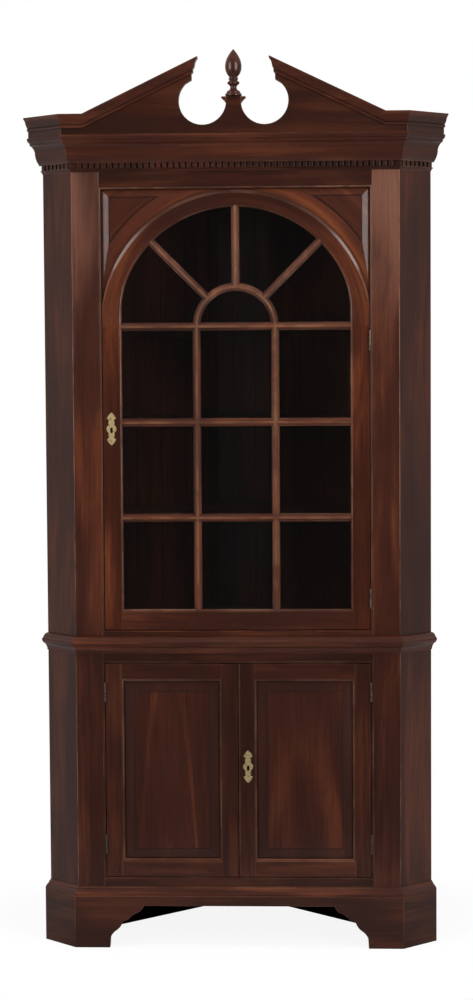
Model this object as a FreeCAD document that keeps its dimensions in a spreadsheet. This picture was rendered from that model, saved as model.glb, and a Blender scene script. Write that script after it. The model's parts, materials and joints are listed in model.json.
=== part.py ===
import FreeCAD, Part
import Sketcher
import math
import os
from types import SimpleNamespace

# Corner china cabinet, in millimetres, +Z up, seen from the front along +Y.
# Every piece is drawn with y = 0 on the face of the upper and lower cases and
# z = 0 on the floor. front_face_y then moves the whole cabinet in depth, so
# that the origin is at the middle of its footprint.

doc = FreeCAD.newDocument("corner_china_cabinet")
sheet = doc.addObject("Spreadsheet::Sheet", "Sizes")

SIZES = {
    # plan of both cases
    "front_half_width": 415.0,
    "side_run": 82.0,
    "back_half_width": 75.0,
    "frame_thickness": 22.0,
    "back_thickness": 12.0,
    "board_thickness": 18.0,
    # base with bracket feet
    "case_bottom_height": 116.0,
    "base_board_height": 134.0,
    "base_moulding_height": 23.0,
    "base_projection": 18.0,
    "apron_height": 109.0,
    "foot_width": 82.0,
    "bracket_width": 88.0,
    "rear_rail_thickness": 18.0,
    # lower case
    "lower_bottom_rail": 23.0,
    "lower_opening_height": 556.0,
    "lower_opening_half_width": 342.0,
    "lower_top_rail": 49.0,
    "waist_drop": 24.0,
    "waist_height": 44.5,
    "waist_projection": 20.0,
    "lower_shelf_height": 250.0,
    # upper case
    "upper_sill": 34.5,
    "upper_opening_height": 1123.5,
    "upper_opening_half_width": 341.0,
    "frieze_height": 43.0,
    "shelf_set_back": 40.0,
    "cleat_size": 18.0,
    "cleat_end_gap": 20.0,
    # bead round both openings
    "bead_width": 4.5,
    "bead_nose": 2.0,
    # cornice
    "bed_height": 9.0,
    "bed_projection": 8.5,
    "dentil_height": 13.0,
    "dentil_width": 9.0,
    "dentil_pitch": 15.4,
    "dentil_projection": 10.5,
    "dentil_back": 4.0,
    "cornice_height": 69.0,
    "cornice_projection": 51.0,
    # pediment
    "fascia_projection": 46.0,
    "fascia_thickness": 20.0,
    "fascia_height": 16.5,
    "crown_height": 34.0,
    "crown_projection": 15.0,
    "rake_start_half": 380.0,
    "rake_rise": 132.0,
    "neck_half_gap": 104.5,
    "scroll_radius": 59.5,
    "scroll_half_gap": 78.0,
    "scroll_centre_height": 81.0,
    "neck_corner_height": 132.5,
    "plinth_half_width": 19.1,
    "plinth_height": 91.0,
    "plinth_cap_height": 16.0,
    "plinth_cap_projection": 11.4,
    "glue_block_width": 34.0,
    "glue_block_height": 38.0,
    # finial
    "finial_height": 118.0,
    "finial_radius": 21.5,
    # gaps and thicknesses shared by the three doors
    "door_thickness": 21.0,
    "door_gap": 2.0,
    "door_foot_gap": 2.5,
    "door_stop_lap": 14.0,
    "door_stop_thickness": 12.0,
    "sticking": 6.5,
    "quirk": 1.0,
    # upper door
    "arch_top_gap": 3.0,
    "upper_stile_flat": 42.0,
    "upper_door_rail": 52.0,
    "arch_outer_lap": 6.0,
    "arch_inner_lap": 10.5,
    "arch_shoulder_step": 71.0,
    "arch_lip_width": 12.0,
    "arch_lip_thickness": 9.0,
    "arch_edge_chamfer": 3.0,
    "glass_front": 10.0,
    "glass_thickness": 3.0,
    "glass_rebate": 7.0,
    "glass_clearance": 0.5,
    "muntin_width": 20.0,
    "muntin_front": 1.5,
    "muntin_fillet": 2.0,
    "muntin_fillet_front": 7.5,
    "muntin_nose_front": 6.5,
    "muntin_stem": 5.0,
    "muntin_stem_back": 20.0,
    "muntin_x": 99.8,
    "muntin_pitch": 243.5,
    # raised panels, measured from the face of the cabinet
    "spandrel_bevel": 20.0,
    "spandrel_curved_bevel": 37.0,
    "spandrel_edge_front": 10.0,
    "spandrel_field_front": 4.0,
    "spandrel_back": 17.0,
    "panel_step": 1.0,
    # lower doors
    "lower_stile": 47.0,
    "lower_rail": 46.5,
    "meeting_bead": 4.5,
    "groove_front": 9.0,
    "groove_width": 6.0,
    "groove_depth": 8.0,
    "panel_tongue": 7.0,
    "panel_clearance": 0.2,
    "panel_bevel": 26.0,
    "panel_field_front": 3.5,
    # butt hinges
    "hinge_length": 50.0,
    "hinge_leaf_width": 18.0,
    "hinge_leaf_thickness": 1.6,
    "knuckle_radius": 3.2,
    "knuckle_gap": 0.3,
    "knuckle_clearance": 0.4,
    "pin_radius": 1.6,
    "pin_clearance": 0.05,
    "hinge_axis_front": 1.5,
    "upper_hinge_low": 53.5,
    "upper_hinge_drop": 12.5,
    "lower_hinge_low": 59.0,
    "lower_hinge_drop": 48.5,
    # locks and bolts
    "lock_width": 30.0,
    "lock_height": 54.0,
    "lock_front": 9.0,
    "bolt_height": 10.0,
    "bolt_thickness": 5.0,
    "bolt_front": 12.5,
    "bolt_length": 21.0,
    "bolt_set_back": 0.4,
    "bolt_clearance": 0.4,
    "bolt_mortise": 11.0,
    "upper_lock_height": 516.5,
    "upper_key_set": 21.0,
    "lower_lock_height": 288.0,
    "lower_key_set": 24.0,
    "escutcheon_half_height": 42.0,
    "escutcheon_half_width": 13.0,
    "escutcheon_thickness": 1.6,
    "key_radius": 3.0,
    "key_slot_width": 2.6,
    "key_slot_drop": 7.5,
    "slide_bolt_width": 9.0,
    "slide_bolt_length": 62.0,
    "slide_bolt_drop": 4.0,
    "slide_plate_width": 26.0,
    "slide_plate_height": 46.0,
    "slide_plate_thickness": 1.5,
    "slide_plate_drop": 12.0,
    # one overrun for every cut
    "overrun": 5.0,
}

for row, (name, value) in enumerate(SIZES.items(), start=1):
    sheet.set("A%d" % row, name)
    sheet.set("B%d" % row, str(value))
    sheet.setAlias("B%d" % row, name)
doc.recompute()


class Size:
    """A length that keeps its value and the sheet formula that gives it."""

    def __init__(self, formula, value):
        self.formula = formula
        self.value = float(value)

    def __add__(self, other):
        other = as_size(other)
        return Size("(%s + %s)" % (self.formula, other.formula), self.value + other.value)

    def __sub__(self, other):
        other = as_size(other)
        return Size("(%s - %s)" % (self.formula, other.formula), self.value - other.value)

    def __mul__(self, other):
        other = as_size(other)
        return Size("(%s * %s)" % (self.formula, other.formula), self.value * other.value)

    def __truediv__(self, other):
        other = as_size(other)
        return Size("(%s / %s)" % (self.formula, other.formula), self.value / other.value)

    def __neg__(self):
        return Size("(0 - %s)" % self.formula, -self.value)

    __radd__ = __add__
    __rmul__ = __mul__

    def __rsub__(self, other):
        return as_size(other) - self


def as_size(value):
    if isinstance(value, Size):
        return value
    return Size(repr(float(value)), value)


def root(size):
    return Size("sqrt(%s)" % size.formula, math.sqrt(size.value))


def leg(long_side, short_side):
    """The other leg of a right triangle."""
    return root(long_side * long_side - short_side * short_side)


size = SimpleNamespace(**{name: Size("Sizes." + name, value) for name, value in SIZES.items()})

# The canted sides stand at 45 degrees, so their mitres lie at half of that.
SIDE_ANGLE = 45.0
DIAGONAL = math.sqrt(0.5)
MITRE = math.tan(math.radians(SIDE_ANGLE / 2))

# Directions in which an arc leaves a corner.
LEFT = 1
RIGHT = -1

# Heights above the floor.
base_top = size.base_board_height + size.base_moulding_height
lower_opening_bottom = base_top + size.lower_bottom_rail
lower_opening_top = lower_opening_bottom + size.lower_opening_height
lower_case_top = lower_opening_top + size.lower_top_rail
upper_opening_bottom = lower_case_top + size.upper_sill
upper_opening_top = upper_opening_bottom + size.upper_opening_height
bed_bottom = upper_opening_top + size.frieze_height
dentil_bottom = bed_bottom + size.bed_height
cornice_bottom = dentil_bottom + size.dentil_height
ledge = cornice_bottom + size.cornice_height
crown_bottom = ledge + size.fascia_height
crown_top = crown_bottom + size.crown_height

# The upper door and its arch. The arch springs from the stiles, its outer line a
# little wider than the door, its inner line rounded into the stiles by shoulders.
upper_half = size.upper_opening_half_width - size.door_gap
upper_bottom = upper_opening_bottom + size.door_foot_gap
glass_bottom = upper_bottom + size.upper_door_rail
stile_flat_x = upper_half - size.upper_stile_flat
stile_edge_x = stile_flat_x - size.sticking
arch_outer_radius = upper_half + size.arch_outer_lap
arch_inner_radius = stile_edge_x + size.arch_inner_lap
arch_shoulder_radius = arch_inner_radius - size.arch_shoulder_step
spring = upper_opening_top - size.arch_top_gap - arch_outer_radius
arch_clip = leg(arch_outer_radius, upper_half)
shoulder_x = stile_edge_x - arch_shoulder_radius
shoulder_rise = leg(size.arch_shoulder_step, shoulder_x)

# Shelves stand behind the level glazing bars.
upper_shelf_bottom = spring - size.muntin_pitch * 2 - size.board_thickness / 2
lower_shelf_bottom = lower_opening_bottom + size.lower_shelf_height

# Corners of the plan, on the right-hand side.
side_end_x = size.front_half_width + size.side_run
side_end_y = size.side_run
back_y = size.front_half_width + size.side_run * 2 - size.back_half_width
front_inner_x = size.front_half_width - size.frame_thickness * MITRE
side_inner_x = side_end_x - size.frame_thickness * DIAGONAL
side_inner_y = side_end_y + size.frame_thickness * DIAGONAL
back_inner_x = side_inner_x - size.back_thickness * DIAGONAL
back_inner_y = side_inner_y - size.back_thickness * DIAGONAL
back_corner_x = size.back_half_width - size.back_thickness * MITRE
back_corner_y = back_y - size.back_thickness
side_length = size.side_run / DIAGONAL
crown_reach = size.fascia_projection + size.crown_projection
front_face_y = (crown_reach - back_y) / 2

parts = {}


def bind(thing, prop, length):
    thing.setExpression(prop, as_size(length).formula)


def new_body(label):
    body = doc.addObject("PartDesign::Body", label)
    body.Label = label
    bind(body, "Placement.Base.y", front_face_y)
    return body


def origin_feature(body, role):
    for feature in body.Origin.OriginFeatures:
        if feature.Role == role:
            return feature
    raise ValueError("no origin feature " + role)


def arc_between(start, end, radius, turn):
    """The short arc of one radius from start to end, and whether it runs backwards."""
    chord = end - start
    left = FreeCAD.Vector(-chord.y, chord.x, 0).normalize()
    height = math.sqrt(max(radius * radius - chord.Length * chord.Length / 4, 0.0))
    centre = start + chord * 0.5 + left * (turn * height)
    first, last = (start, end) if turn == LEFT else (end, start)
    angle_first = math.atan2(first.y - centre.y, first.x - centre.x)
    angle_last = math.atan2(last.y - centre.y, last.x - centre.x)
    circle = Part.Circle(centre, FreeCAD.Vector(0, 0, 1), radius)
    return Part.ArcOfCircle(circle, angle_first, angle_last)


def add_circle(sketch, centre_u, centre_v, radius):
    centre_u, centre_v, radius = as_size(centre_u), as_size(centre_v), as_size(radius)
    middle = FreeCAD.Vector(centre_u.value, centre_v.value, 0)
    edge = sketch.addGeometry(Part.Circle(middle, FreeCAD.Vector(0, 0, 1), radius.value))
    bind_point(sketch, edge, 3, centre_u, centre_v)
    index = sketch.addConstraint(Sketcher.Constraint("Radius", edge, radius.value))
    bind(sketch, "Constraints[%d]" % index, radius)


def bind_point(sketch, edge, end, u, v):
    for kind, length in (("DistanceX", u), ("DistanceY", v)):
        index = sketch.addConstraint(Sketcher.Constraint(kind, -1, 1, edge, end, length.value))
        bind(sketch, "Constraints[%d]" % index, length)


def add_loop(sketch, corners):
    """A closed outline of (u, v) corners; (u, v, radius, turn) leaves a corner on an arc."""
    corners = [(as_size(c[0]), as_size(c[1])) + tuple(c[2:]) for c in corners]
    edges = []
    for i, corner in enumerate(corners):
        nxt = corners[(i + 1) % len(corners)]
        start = FreeCAD.Vector(corner[0].value, corner[1].value, 0)
        end = FreeCAD.Vector(nxt[0].value, nxt[1].value, 0)
        if len(corner) > 2:
            radius = as_size(corner[2])
            edge = sketch.addGeometry(arc_between(start, end, radius.value, corner[3]))
            index = sketch.addConstraint(Sketcher.Constraint("Radius", edge, radius.value))
            bind(sketch, "Constraints[%d]" % index, radius)
            edges.append((edge, 1, 2) if corner[3] == LEFT else (edge, 2, 1))
        else:
            edge = sketch.addGeometry(Part.LineSegment(start, end))
            edges.append((edge, 1, 2))
    for i, (edge, _, last) in enumerate(edges):
        following, first, _ = edges[(i + 1) % len(edges)]
        sketch.addConstraint(Sketcher.Constraint("Coincident", edge, last, following, first))
    for (edge, first, _), corner in zip(edges, corners):
        bind_point(sketch, edge, first, corner[0], corner[1])


def add_sketch(body, plane, loops, at=0, turn=0, aside=0):
    """A sketch on a plane of the body, `at` along its axis, turned about its own v axis."""
    sketch = body.newObject("Sketcher::SketchObject", body.Label + "_outline")
    sketch.AttachmentSupport = [(origin_feature(body, plane), "")]
    sketch.MapMode = "FlatFace"
    sketch.AttachmentOffset = FreeCAD.Placement(
        FreeCAD.Vector(0, 0, 0), FreeCAD.Rotation(FreeCAD.Vector(0, 1, 0), turn))
    along = as_size(at)
    bind(sketch, "AttachmentOffset.Base.z", -along if plane == "XZ_Plane" else along)
    bind(sketch, "AttachmentOffset.Base.x", aside)
    for loop in loops:
        if loop[0] == "circle":
            add_circle(sketch, *loop[1:])
        else:
            add_loop(sketch, loop)
    return sketch


def pad(body, plane, loops, start, end, turn=0, aside=0):
    """Adds wood or metal from start to end along the plane's axis."""
    feature = body.newObject("PartDesign::Pad", body.Label + "_pad")
    feature.Profile = add_sketch(body, plane, loops, start, turn, aside)
    bind(feature, "Length", as_size(end) - start)
    feature.Reversed = plane == "XZ_Plane"
    feature.Refine = False
    body.Tip = feature
    return feature


def cut(body, plane, loops, start, end):
    """Takes away from start to end along the plane's axis, and makes sure that it did."""
    doc.recompute()
    before = body.Shape.Volume
    feature = body.newObject("PartDesign::Pocket", body.Label + "_pocket")
    feature.Profile = add_sketch(body, plane, loops, start)
    bind(feature, "Length", as_size(end) - start)
    feature.Reversed = plane != "XZ_Plane"
    feature.Refine = False
    body.Tip = feature
    doc.recompute()
    if body.Shape.Volume >= before:
        raise ValueError(body.Label + ": a pocket cuts nothing")
    return feature


def loft(body, plane, first_loop, first_at, second_loop, second_at):
    feature = body.newObject("PartDesign::AdditiveLoft", body.Label + "_loft")
    feature.Profile = add_sketch(body, plane, [first_loop], first_at)
    feature.Sections = [add_sketch(body, plane, [second_loop], second_at)]
    feature.Ruled = True
    feature.Refine = False
    body.Tip = feature
    return feature


def mirror(body, originals=None):
    """Repeats the whole body, or the features given, on the other side of the middle."""
    whole = body.Tip
    feature = body.newObject("PartDesign::Mirrored", body.Label + "_mirror")
    if originals is None:
        feature.TransformMode = "Whole shape"
    feature.Originals = originals or [whole]
    feature.MirrorPlane = (origin_feature(body, "YZ_Plane"), [""])
    feature.Refine = False
    body.Tip = feature
    return feature


def repeat(body, originals, axis, length, count, backwards=False):
    feature = body.newObject("PartDesign::LinearPattern", body.Label + "_row")
    feature.Originals = originals
    feature.Direction = (origin_feature(body, axis), [""])
    bind(feature, "Length", length)
    feature.Occurrences = count
    feature.Reversed = backwards
    feature.Refine = False
    body.Tip = feature
    return feature


def work_edges(body, kind, prop, length, wanted):
    """Works the edges of the body for which wanted(edge) holds."""
    doc.recompute()
    sharp = body.Tip
    names = ["Edge%d" % (i + 1) for i, edge in enumerate(sharp.Shape.Edges) if wanted(edge)]
    feature = body.newObject(kind, body.Label + "_edges")
    feature.Base = (sharp, names)
    bind(feature, prop, length)
    body.Tip = feature
    return feature


def round_edges(body, radius, wanted):
    return work_edges(body, "PartDesign::Fillet", "Radius", radius, wanted)


def chamfer_edges(body, width, wanted):
    return work_edges(body, "PartDesign::Chamfer", "Size", width, wanted)


def box(low_u, high_u, low_v, high_v):
    return [(low_u, low_v), (high_u, low_v), (high_u, high_v), (low_u, high_v)]


def keep(label, thing=None):
    parts[label] = thing or doc.getObjectsByLabel(label)[0]


def group(label, pieces):
    compound = doc.addObject("Part::Compound", label)
    compound.Label = label
    compound.Links = pieces
    keep(label, compound)
    return compound


def fitted(label, piece, against):
    """A piece scribed to its neighbours: what they fill is taken out of it."""
    tool = against[0]
    if len(against) > 1:
        tool = doc.addObject("Part::Compound", label + "_scribe")
        tool.Links = against
    result = doc.addObject("Part::Cut", label)
    result.Label = label
    result.Base = piece
    result.Tool = tool
    keep(label, result)
    return result


def lies_at(value, wanted):
    return abs(value - wanted) < 1e-3


def lies_flat(edge, depth):
    """True where the whole edge lies at one depth."""
    return lies_at(edge.BoundBox.YMin, depth) and lies_at(edge.BoundBox.YMax, depth)


# Walls, backs and boards of the two cases

def make_sides(label, bottom, top):
    body = new_body(label)
    outline = [(size.front_half_width, 0), (side_end_x, side_end_y),
               (side_inner_x, side_inner_y), (front_inner_x, size.frame_thickness)]
    pad(body, "XY_Plane", [outline], bottom, top)
    mirror(body)
    keep(label)


def make_backs(label, bottom, top):
    wings = new_body(label + "_wings")
    outline = [(side_inner_x, side_inner_y), (size.back_half_width, back_y),
               (back_corner_x, back_corner_y), (back_inner_x, back_inner_y)]
    pad(wings, "XY_Plane", [outline], bottom, top)
    mirror(wings)
    middle = new_body(label + "_middle")
    outline = [(-size.back_half_width, back_y), (-back_corner_x, back_corner_y),
               (back_corner_x, back_corner_y), (size.back_half_width, back_y)]
    pad(middle, "XY_Plane", [outline], bottom, top)
    group(label, [wings, middle])


def board_outline(front):
    """The space inside the case, from `front` back to the back panels."""
    front_x = front_inner_x + (front - size.frame_thickness)
    right = [(front_x, front), (back_inner_x, back_inner_y), (back_corner_x, back_corner_y)]
    left = [(-x, y) for x, y in reversed(right)]
    return right + left


def make_board(label, front, bottom, count=1, pitch=0):
    body = new_body(label)
    first = pad(body, "XY_Plane", [board_outline(front)], bottom, bottom + size.board_thickness)
    if count > 1:
        repeat(body, [first], "Z_Axis", pitch * (count - 1), count)
    keep(label)


def make_stiles(label, opening_half_width, bottom, top):
    body = new_body(label)
    inner = opening_half_width + size.bead_width
    outline = [(inner, 0), (size.front_half_width, 0),
               (front_inner_x, size.frame_thickness), (inner, size.frame_thickness)]
    pad(body, "XY_Plane", [outline], bottom, top)
    mirror(body)
    keep(label)
    return body


def make_rail(label, opening_half_width, heights):
    body = new_body(label)
    half = opening_half_width + size.bead_width
    for bottom, top in heights:
        pad(body, "XZ_Plane", [box(-half, half, bottom, top)], 0, size.frame_thickness)
    keep(label)


def make_bead(label, half_width, bottom, top):
    """The thin rounded strip that lines an opening and stands proud of the frame."""
    body = new_body(label)
    wide = half_width + size.bead_width
    loops = [box(-wide, wide, bottom - size.bead_width, top + size.bead_width),
             box(-half_width, half_width, bottom, top)]
    pad(body, "XZ_Plane", loops, -size.bead_nose, size.frame_thickness)
    round_edges(body, size.bead_nose, lambda edge: lies_flat(edge, -size.bead_nose.value))
    keep(label)
    return body


def make_cleats():
    body = new_body("shelf_cleats")
    slope = size.cleat_size * DIAGONAL
    end = size.cleat_end_gap * DIAGONAL
    outer = (back_inner_x - end, back_inner_y + end)
    inner = (back_corner_x + end, back_corner_y - end)
    outline = [outer, inner, (inner[0] - slope, inner[1] - slope), (outer[0] - slope, outer[1] - slope)]
    lowest = pad(body, "XY_Plane", [outline], upper_shelf_bottom - size.cleat_size, upper_shelf_bottom)
    repeat(body, [lowest], "Z_Axis", size.muntin_pitch * 2, 3)
    under_lower = lower_shelf_bottom - size.cleat_size
    pad(body, "XY_Plane", [outline], under_lower, lower_shelf_bottom)
    mirror(body)
    keep("shelf_cleats")




# Mouldings that run round the front and the canted sides

# Each point of a moulding is a share of its projection and of its height, from
# the bottom up. A third number is the radius of the arc to the next point, as a
# share of the height, and RIGHT makes it bulge outwards, LEFT hollow.

CORNICE_SHARES = (
    (0.24, 0.00), (0.24, 0.03, 0.62, RIGHT), (0.49, 0.47, 0.40, LEFT), (0.79, 0.72),
    (0.82, 0.72), (0.82, 0.80, 0.20, RIGHT), (0.99, 0.93, 0.06, RIGHT), (0.95, 0.99), (0.92, 1.00))
CROWN_SHARES = (
    (0.22, 0.00), (0.22, 0.06, 0.09, RIGHT), (0.22, 0.19), (0.12, 0.22, 0.70, RIGHT),
    (0.55, 0.54, 0.70, LEFT), (0.93, 0.87), (1.00, 0.87), (1.00, 1.00))
WAIST_SHARES = (
    (0.15, 0.00), (0.15, 0.09, 0.55, LEFT), (0.74, 0.44), (0.86, 0.44), (0.86, 0.51, 0.13, RIGHT),
    (0.86, 0.74), (0.80, 0.76, 0.42, RIGHT), (0.20, 1.00))
BASE_SHARES = (
    (1.00, 0.00), (1.00, 0.12, 0.50, RIGHT), (0.72, 0.46), (0.66, 0.50, 0.70, LEFT),
    (0.26, 0.86), (0.14, 0.86), (0.14, 1.00))


def profile(shares, projection, height, bottom, inner=0):
    """The section of a moulding in the (y, z) plane, standing out from y = -inner."""
    corners = [(-as_size(inner), bottom)]
    for point in shares:
        corner = (-(projection * point[0] + inner), bottom + height * point[1])
        if len(point) > 2:
            corner += (height * point[2], point[3])
        corners.append(corner)
    corners.append((-as_size(inner), bottom + height))
    return corners


def mitre_off(body, reach, depth, bottom, top, outside):
    """Cuts a moulding on the mitre of the right-hand corner, on the outside or the inside of it."""
    near = (size.front_half_width - depth * MITRE, depth)
    far = (size.front_half_width + reach * MITRE, -reach)
    edge_x = far[0] + reach + size.overrun if outside else near[0] - reach - size.overrun
    outline = [near, far, (edge_x, far[1]), (edge_x, near[1])]
    cut(body, "XY_Plane", [outline], bottom - size.overrun, top + size.overrun)


def make_front_run(label, section, reach, bottom, top):
    """A moulding or board across the front, mitred at both ends."""
    body = new_body(label)
    half = size.front_half_width + reach
    pad(body, "YZ_Plane", [section], 0, half)
    mitre_off(body, reach + size.overrun, size.overrun, bottom, top, True)
    mirror(body)
    return body


def make_side_runs(label, section, reach, bottom, top):
    """The same moulding on both canted sides, from the mitre back to the wall."""
    body = new_body(label)
    pad_on_side(body, section, -(reach * MITRE + size.overrun), side_length)
    mitre_off(body, reach + size.overrun, size.overrun, bottom, top, False)
    mirror(body)
    return body


def pad_on_side(body, section, start, end):
    """A pad along the right canted side; start and end are measured from its front corner."""
    feature = body.newObject("PartDesign::Pad", body.Label + "_pad")
    sketch = add_sketch(body, "YZ_Plane", [section], size.front_half_width + as_size(start) * DIAGONAL,
                        SIDE_ANGLE, as_size(start) * DIAGONAL)
    feature.Profile = sketch
    bind(feature, "Length", as_size(end) - start)
    feature.Refine = False
    body.Tip = feature
    return feature


def make_cornice():
    section = profile(CORNICE_SHARES, size.cornice_projection, size.cornice_height, cornice_bottom)
    make_front_run("cornice_front", section, size.cornice_projection, cornice_bottom, ledge)
    keep("cornice_front")
    make_side_runs("cornice_sides", section, size.cornice_projection, cornice_bottom, ledge)
    keep("cornice_sides")


# The hollow under the teeth: where it starts, its radius and the fillet above it.
bed_start_share = 0.12
bed_radius_share = 1.2
bed_fillet_share = 0.15


def make_dentils():
    """A hollow bed moulding and a strip behind the teeth, in one length, then the row of teeth."""
    section = [(0, bed_bottom),
               (-size.bed_projection * bed_start_share, bed_bottom, size.bed_height * bed_radius_share, LEFT),
               (-size.bed_projection, dentil_bottom - size.bed_height * bed_fillet_share),
               (-size.bed_projection, dentil_bottom), (-size.dentil_back, dentil_bottom),
               (-size.dentil_back, cornice_bottom), (0, cornice_bottom)]
    reach = size.dentil_projection
    half_pitch = size.dentil_pitch / 2
    half_tooth = size.dentil_width / 2
    tooth = box(-size.dentil_projection, -size.dentil_back, dentil_bottom, cornice_bottom)

    front = new_body("dentil_front")
    pad(front, "YZ_Plane", [section], 0, size.front_half_width + reach)
    mitre_off(front, reach + size.overrun, size.overrun, bed_bottom, cornice_bottom, True)
    count = int((size.front_half_width.value - half_tooth.value) / size.dentil_pitch.value)
    first = pad(front, "YZ_Plane", [tooth], half_pitch - half_tooth, half_pitch + half_tooth)
    repeat(front, [first], "X_Axis", size.dentil_pitch * (count - 1), count)
    mirror(front)
    keep("dentil_front")

    sides = new_body("dentil_sides")
    pad_on_side(sides, section, -(reach * MITRE + size.overrun), side_length)
    mitre_off(sides, reach + size.overrun, size.overrun, bed_bottom, cornice_bottom, False)
    count = int((side_length.value - half_tooth.value) / size.dentil_pitch.value)
    for i in range(count):
        middle = half_pitch + size.dentil_pitch * i
        pad_on_side(sides, tooth, middle - half_tooth, middle + half_tooth)
    mirror(sides)
    keep("dentil_sides")


def make_waist():
    bottom = lower_case_top - size.waist_drop
    section = profile(WAIST_SHARES, size.waist_projection, size.waist_height, bottom)
    top = bottom + size.waist_height
    front = make_front_run("waist_front", section, size.waist_projection, bottom, top)
    sides = make_side_runs("waist_sides", section, size.waist_projection, bottom, top)
    group("waist_mouldings", [front, sides])


# Base with bracket feet

def make_base():
    section = profile(BASE_SHARES, size.base_projection, size.base_moulding_height, size.base_board_height)
    reach = size.base_projection
    front = make_front_run("base_moulding_front", section, reach, size.base_board_height, base_top)
    sides = make_side_runs("base_moulding_sides", section, reach, size.base_board_height, base_top)
    group("base_mouldings", [front, sides])

    board = box(-reach, 0, 0, size.base_board_height)
    make_side_runs("base_sides", board, reach, 0, size.base_board_height)
    keep("base_sides")

    apron = make_front_run("base_front", board, reach, 0, size.base_board_height)
    cut(apron, "XZ_Plane", [bracket_outline()], -reach - size.overrun, size.overrun)
    keep("base_front")

    rails = new_body("base_rear_rails")
    slope = size.rear_rail_thickness * DIAGONAL
    start_x = side_end_x
    start_y = side_end_y
    corner_x = size.back_half_width - size.rear_rail_thickness * MITRE
    outline = [(start_x, start_y), (size.back_half_width, back_y),
               (corner_x, back_y - size.rear_rail_thickness), (start_x - slope, start_y - slope)]
    pad(rails, "XY_Plane", [outline], 0, size.case_bottom_height)
    middle = [(0, back_y), (0, back_y - size.rear_rail_thickness),
              (corner_x, back_y - size.rear_rail_thickness), (size.back_half_width, back_y)]
    pad(rails, "XY_Plane", [middle], 0, size.case_bottom_height)
    mirror(rails)
    keep("base_rear_rails")


def bracket_outline():
    """The opening under the apron, between two bracket feet with two hollows each."""
    floor_x = size.front_half_width - size.foot_width
    # Shares of the bracket's width from the foot, and of the apron's height from the floor;
    # the radius of an arc is a share of the apron's height.
    shares = ((0.00, 0.00), (0.02, 0.24, 0.352, RIGHT), (0.19, 0.41, 0.384, LEFT), (0.38, 0.61),
              (0.42, 0.64), (0.53, 0.66, 0.48, RIGHT), (0.86, 0.85, 0.352, LEFT), (1.00, 1.00))
    right = []
    left = []
    for point in shares:
        x = floor_x - size.bracket_width * point[0]
        z = size.apron_height * point[1]
        right.append((x, z))
        left.append((-x, z))
    outline = []
    for i, point in enumerate(shares):
        # On the right foot an arc runs the other way round than on the left one.
        corner = right[i]
        if len(point) > 2:
            corner += (size.apron_height * point[2], -point[3])
        outline.append(corner)
    for i in range(len(shares) - 1, 0, -1):
        corner = left[i]
        if len(shares[i - 1]) > 2:
            corner += (size.apron_height * shares[i - 1][2], -shares[i - 1][3])
        outline.append(corner)
    outline.append((-floor_x, 0))
    below = -size.overrun
    outline.append((-floor_x, below))
    outline.append((floor_x, below))
    return outline


# Pediment

slope_share = size.rake_rise / (size.rake_start_half - size.neck_half_gap)
scroll_z = ledge + size.scroll_centre_height
fascia_back = size.fascia_projection - size.fascia_thickness


def rake_height(x):
    """How far the raking line has risen over the level crown at x."""
    return (size.rake_start_half - x) * slope_share


def make_pediment_board():
    body = new_body("pediment_board")
    half = size.front_half_width + size.fascia_projection * MITRE
    turn = size.scroll_radius * DIAGONAL
    centre = size.scroll_half_gap
    plinth_drop = leg(size.scroll_radius, centre - size.plinth_half_width)
    right = [(half, ledge), (half, crown_top), (size.rake_start_half, crown_top),
             (size.neck_half_gap, crown_top + rake_height(size.neck_half_gap)),
             (size.neck_half_gap, ledge + size.neck_corner_height),
             (centre + turn, scroll_z + turn), (centre + size.scroll_radius, scroll_z),
             (centre, scroll_z - size.scroll_radius),
             (size.plinth_half_width, scroll_z - plinth_drop),
             (size.plinth_half_width, ledge + size.plinth_height)]
    left = [(-x, z) for x, z in reversed(right)]
    arcs_right = (5, 6, 7)
    outline = []
    for i, corner in enumerate(right):
        outline.append(corner + ((size.scroll_radius, RIGHT) if i in arcs_right else ()))
    count = len(right)
    for i, corner in enumerate(left):
        outline.append(corner + ((size.scroll_radius, RIGHT) if count - 2 - i in arcs_right else ()))
    pad(body, "XZ_Plane", [outline], -size.fascia_projection, -fascia_back)
    mitre_both_ends(body, half)
    keep("pediment_board")


def mitre_both_ends(body, half):
    """Cuts both ends of the pediment board to meet the boards of the canted sides."""
    back_x = size.front_half_width + fascia_back * MITRE
    over = size.overrun
    for side in (1, -1):
        outline = [(half * side, -size.fascia_projection), (back_x * side, -fascia_back),
                   ((half + over) * side, -fascia_back),
                   ((half + over) * side, -size.fascia_projection)]
        cut(body, "XY_Plane", [outline], ledge - over, crown_top + over)


def make_pediment_sides():
    body = new_body("pediment_sides")
    out = size.fascia_projection
    back = fascia_back
    outline = [(size.front_half_width + out * MITRE, -out),
               (side_end_x + out * DIAGONAL, side_end_y - out * DIAGONAL),
               (side_end_x + back * DIAGONAL, side_end_y - back * DIAGONAL),
               (size.front_half_width + back * MITRE, -back)]
    pad(body, "XY_Plane", [outline], ledge, crown_top)
    mirror(body)
    keep("pediment_sides")


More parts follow.
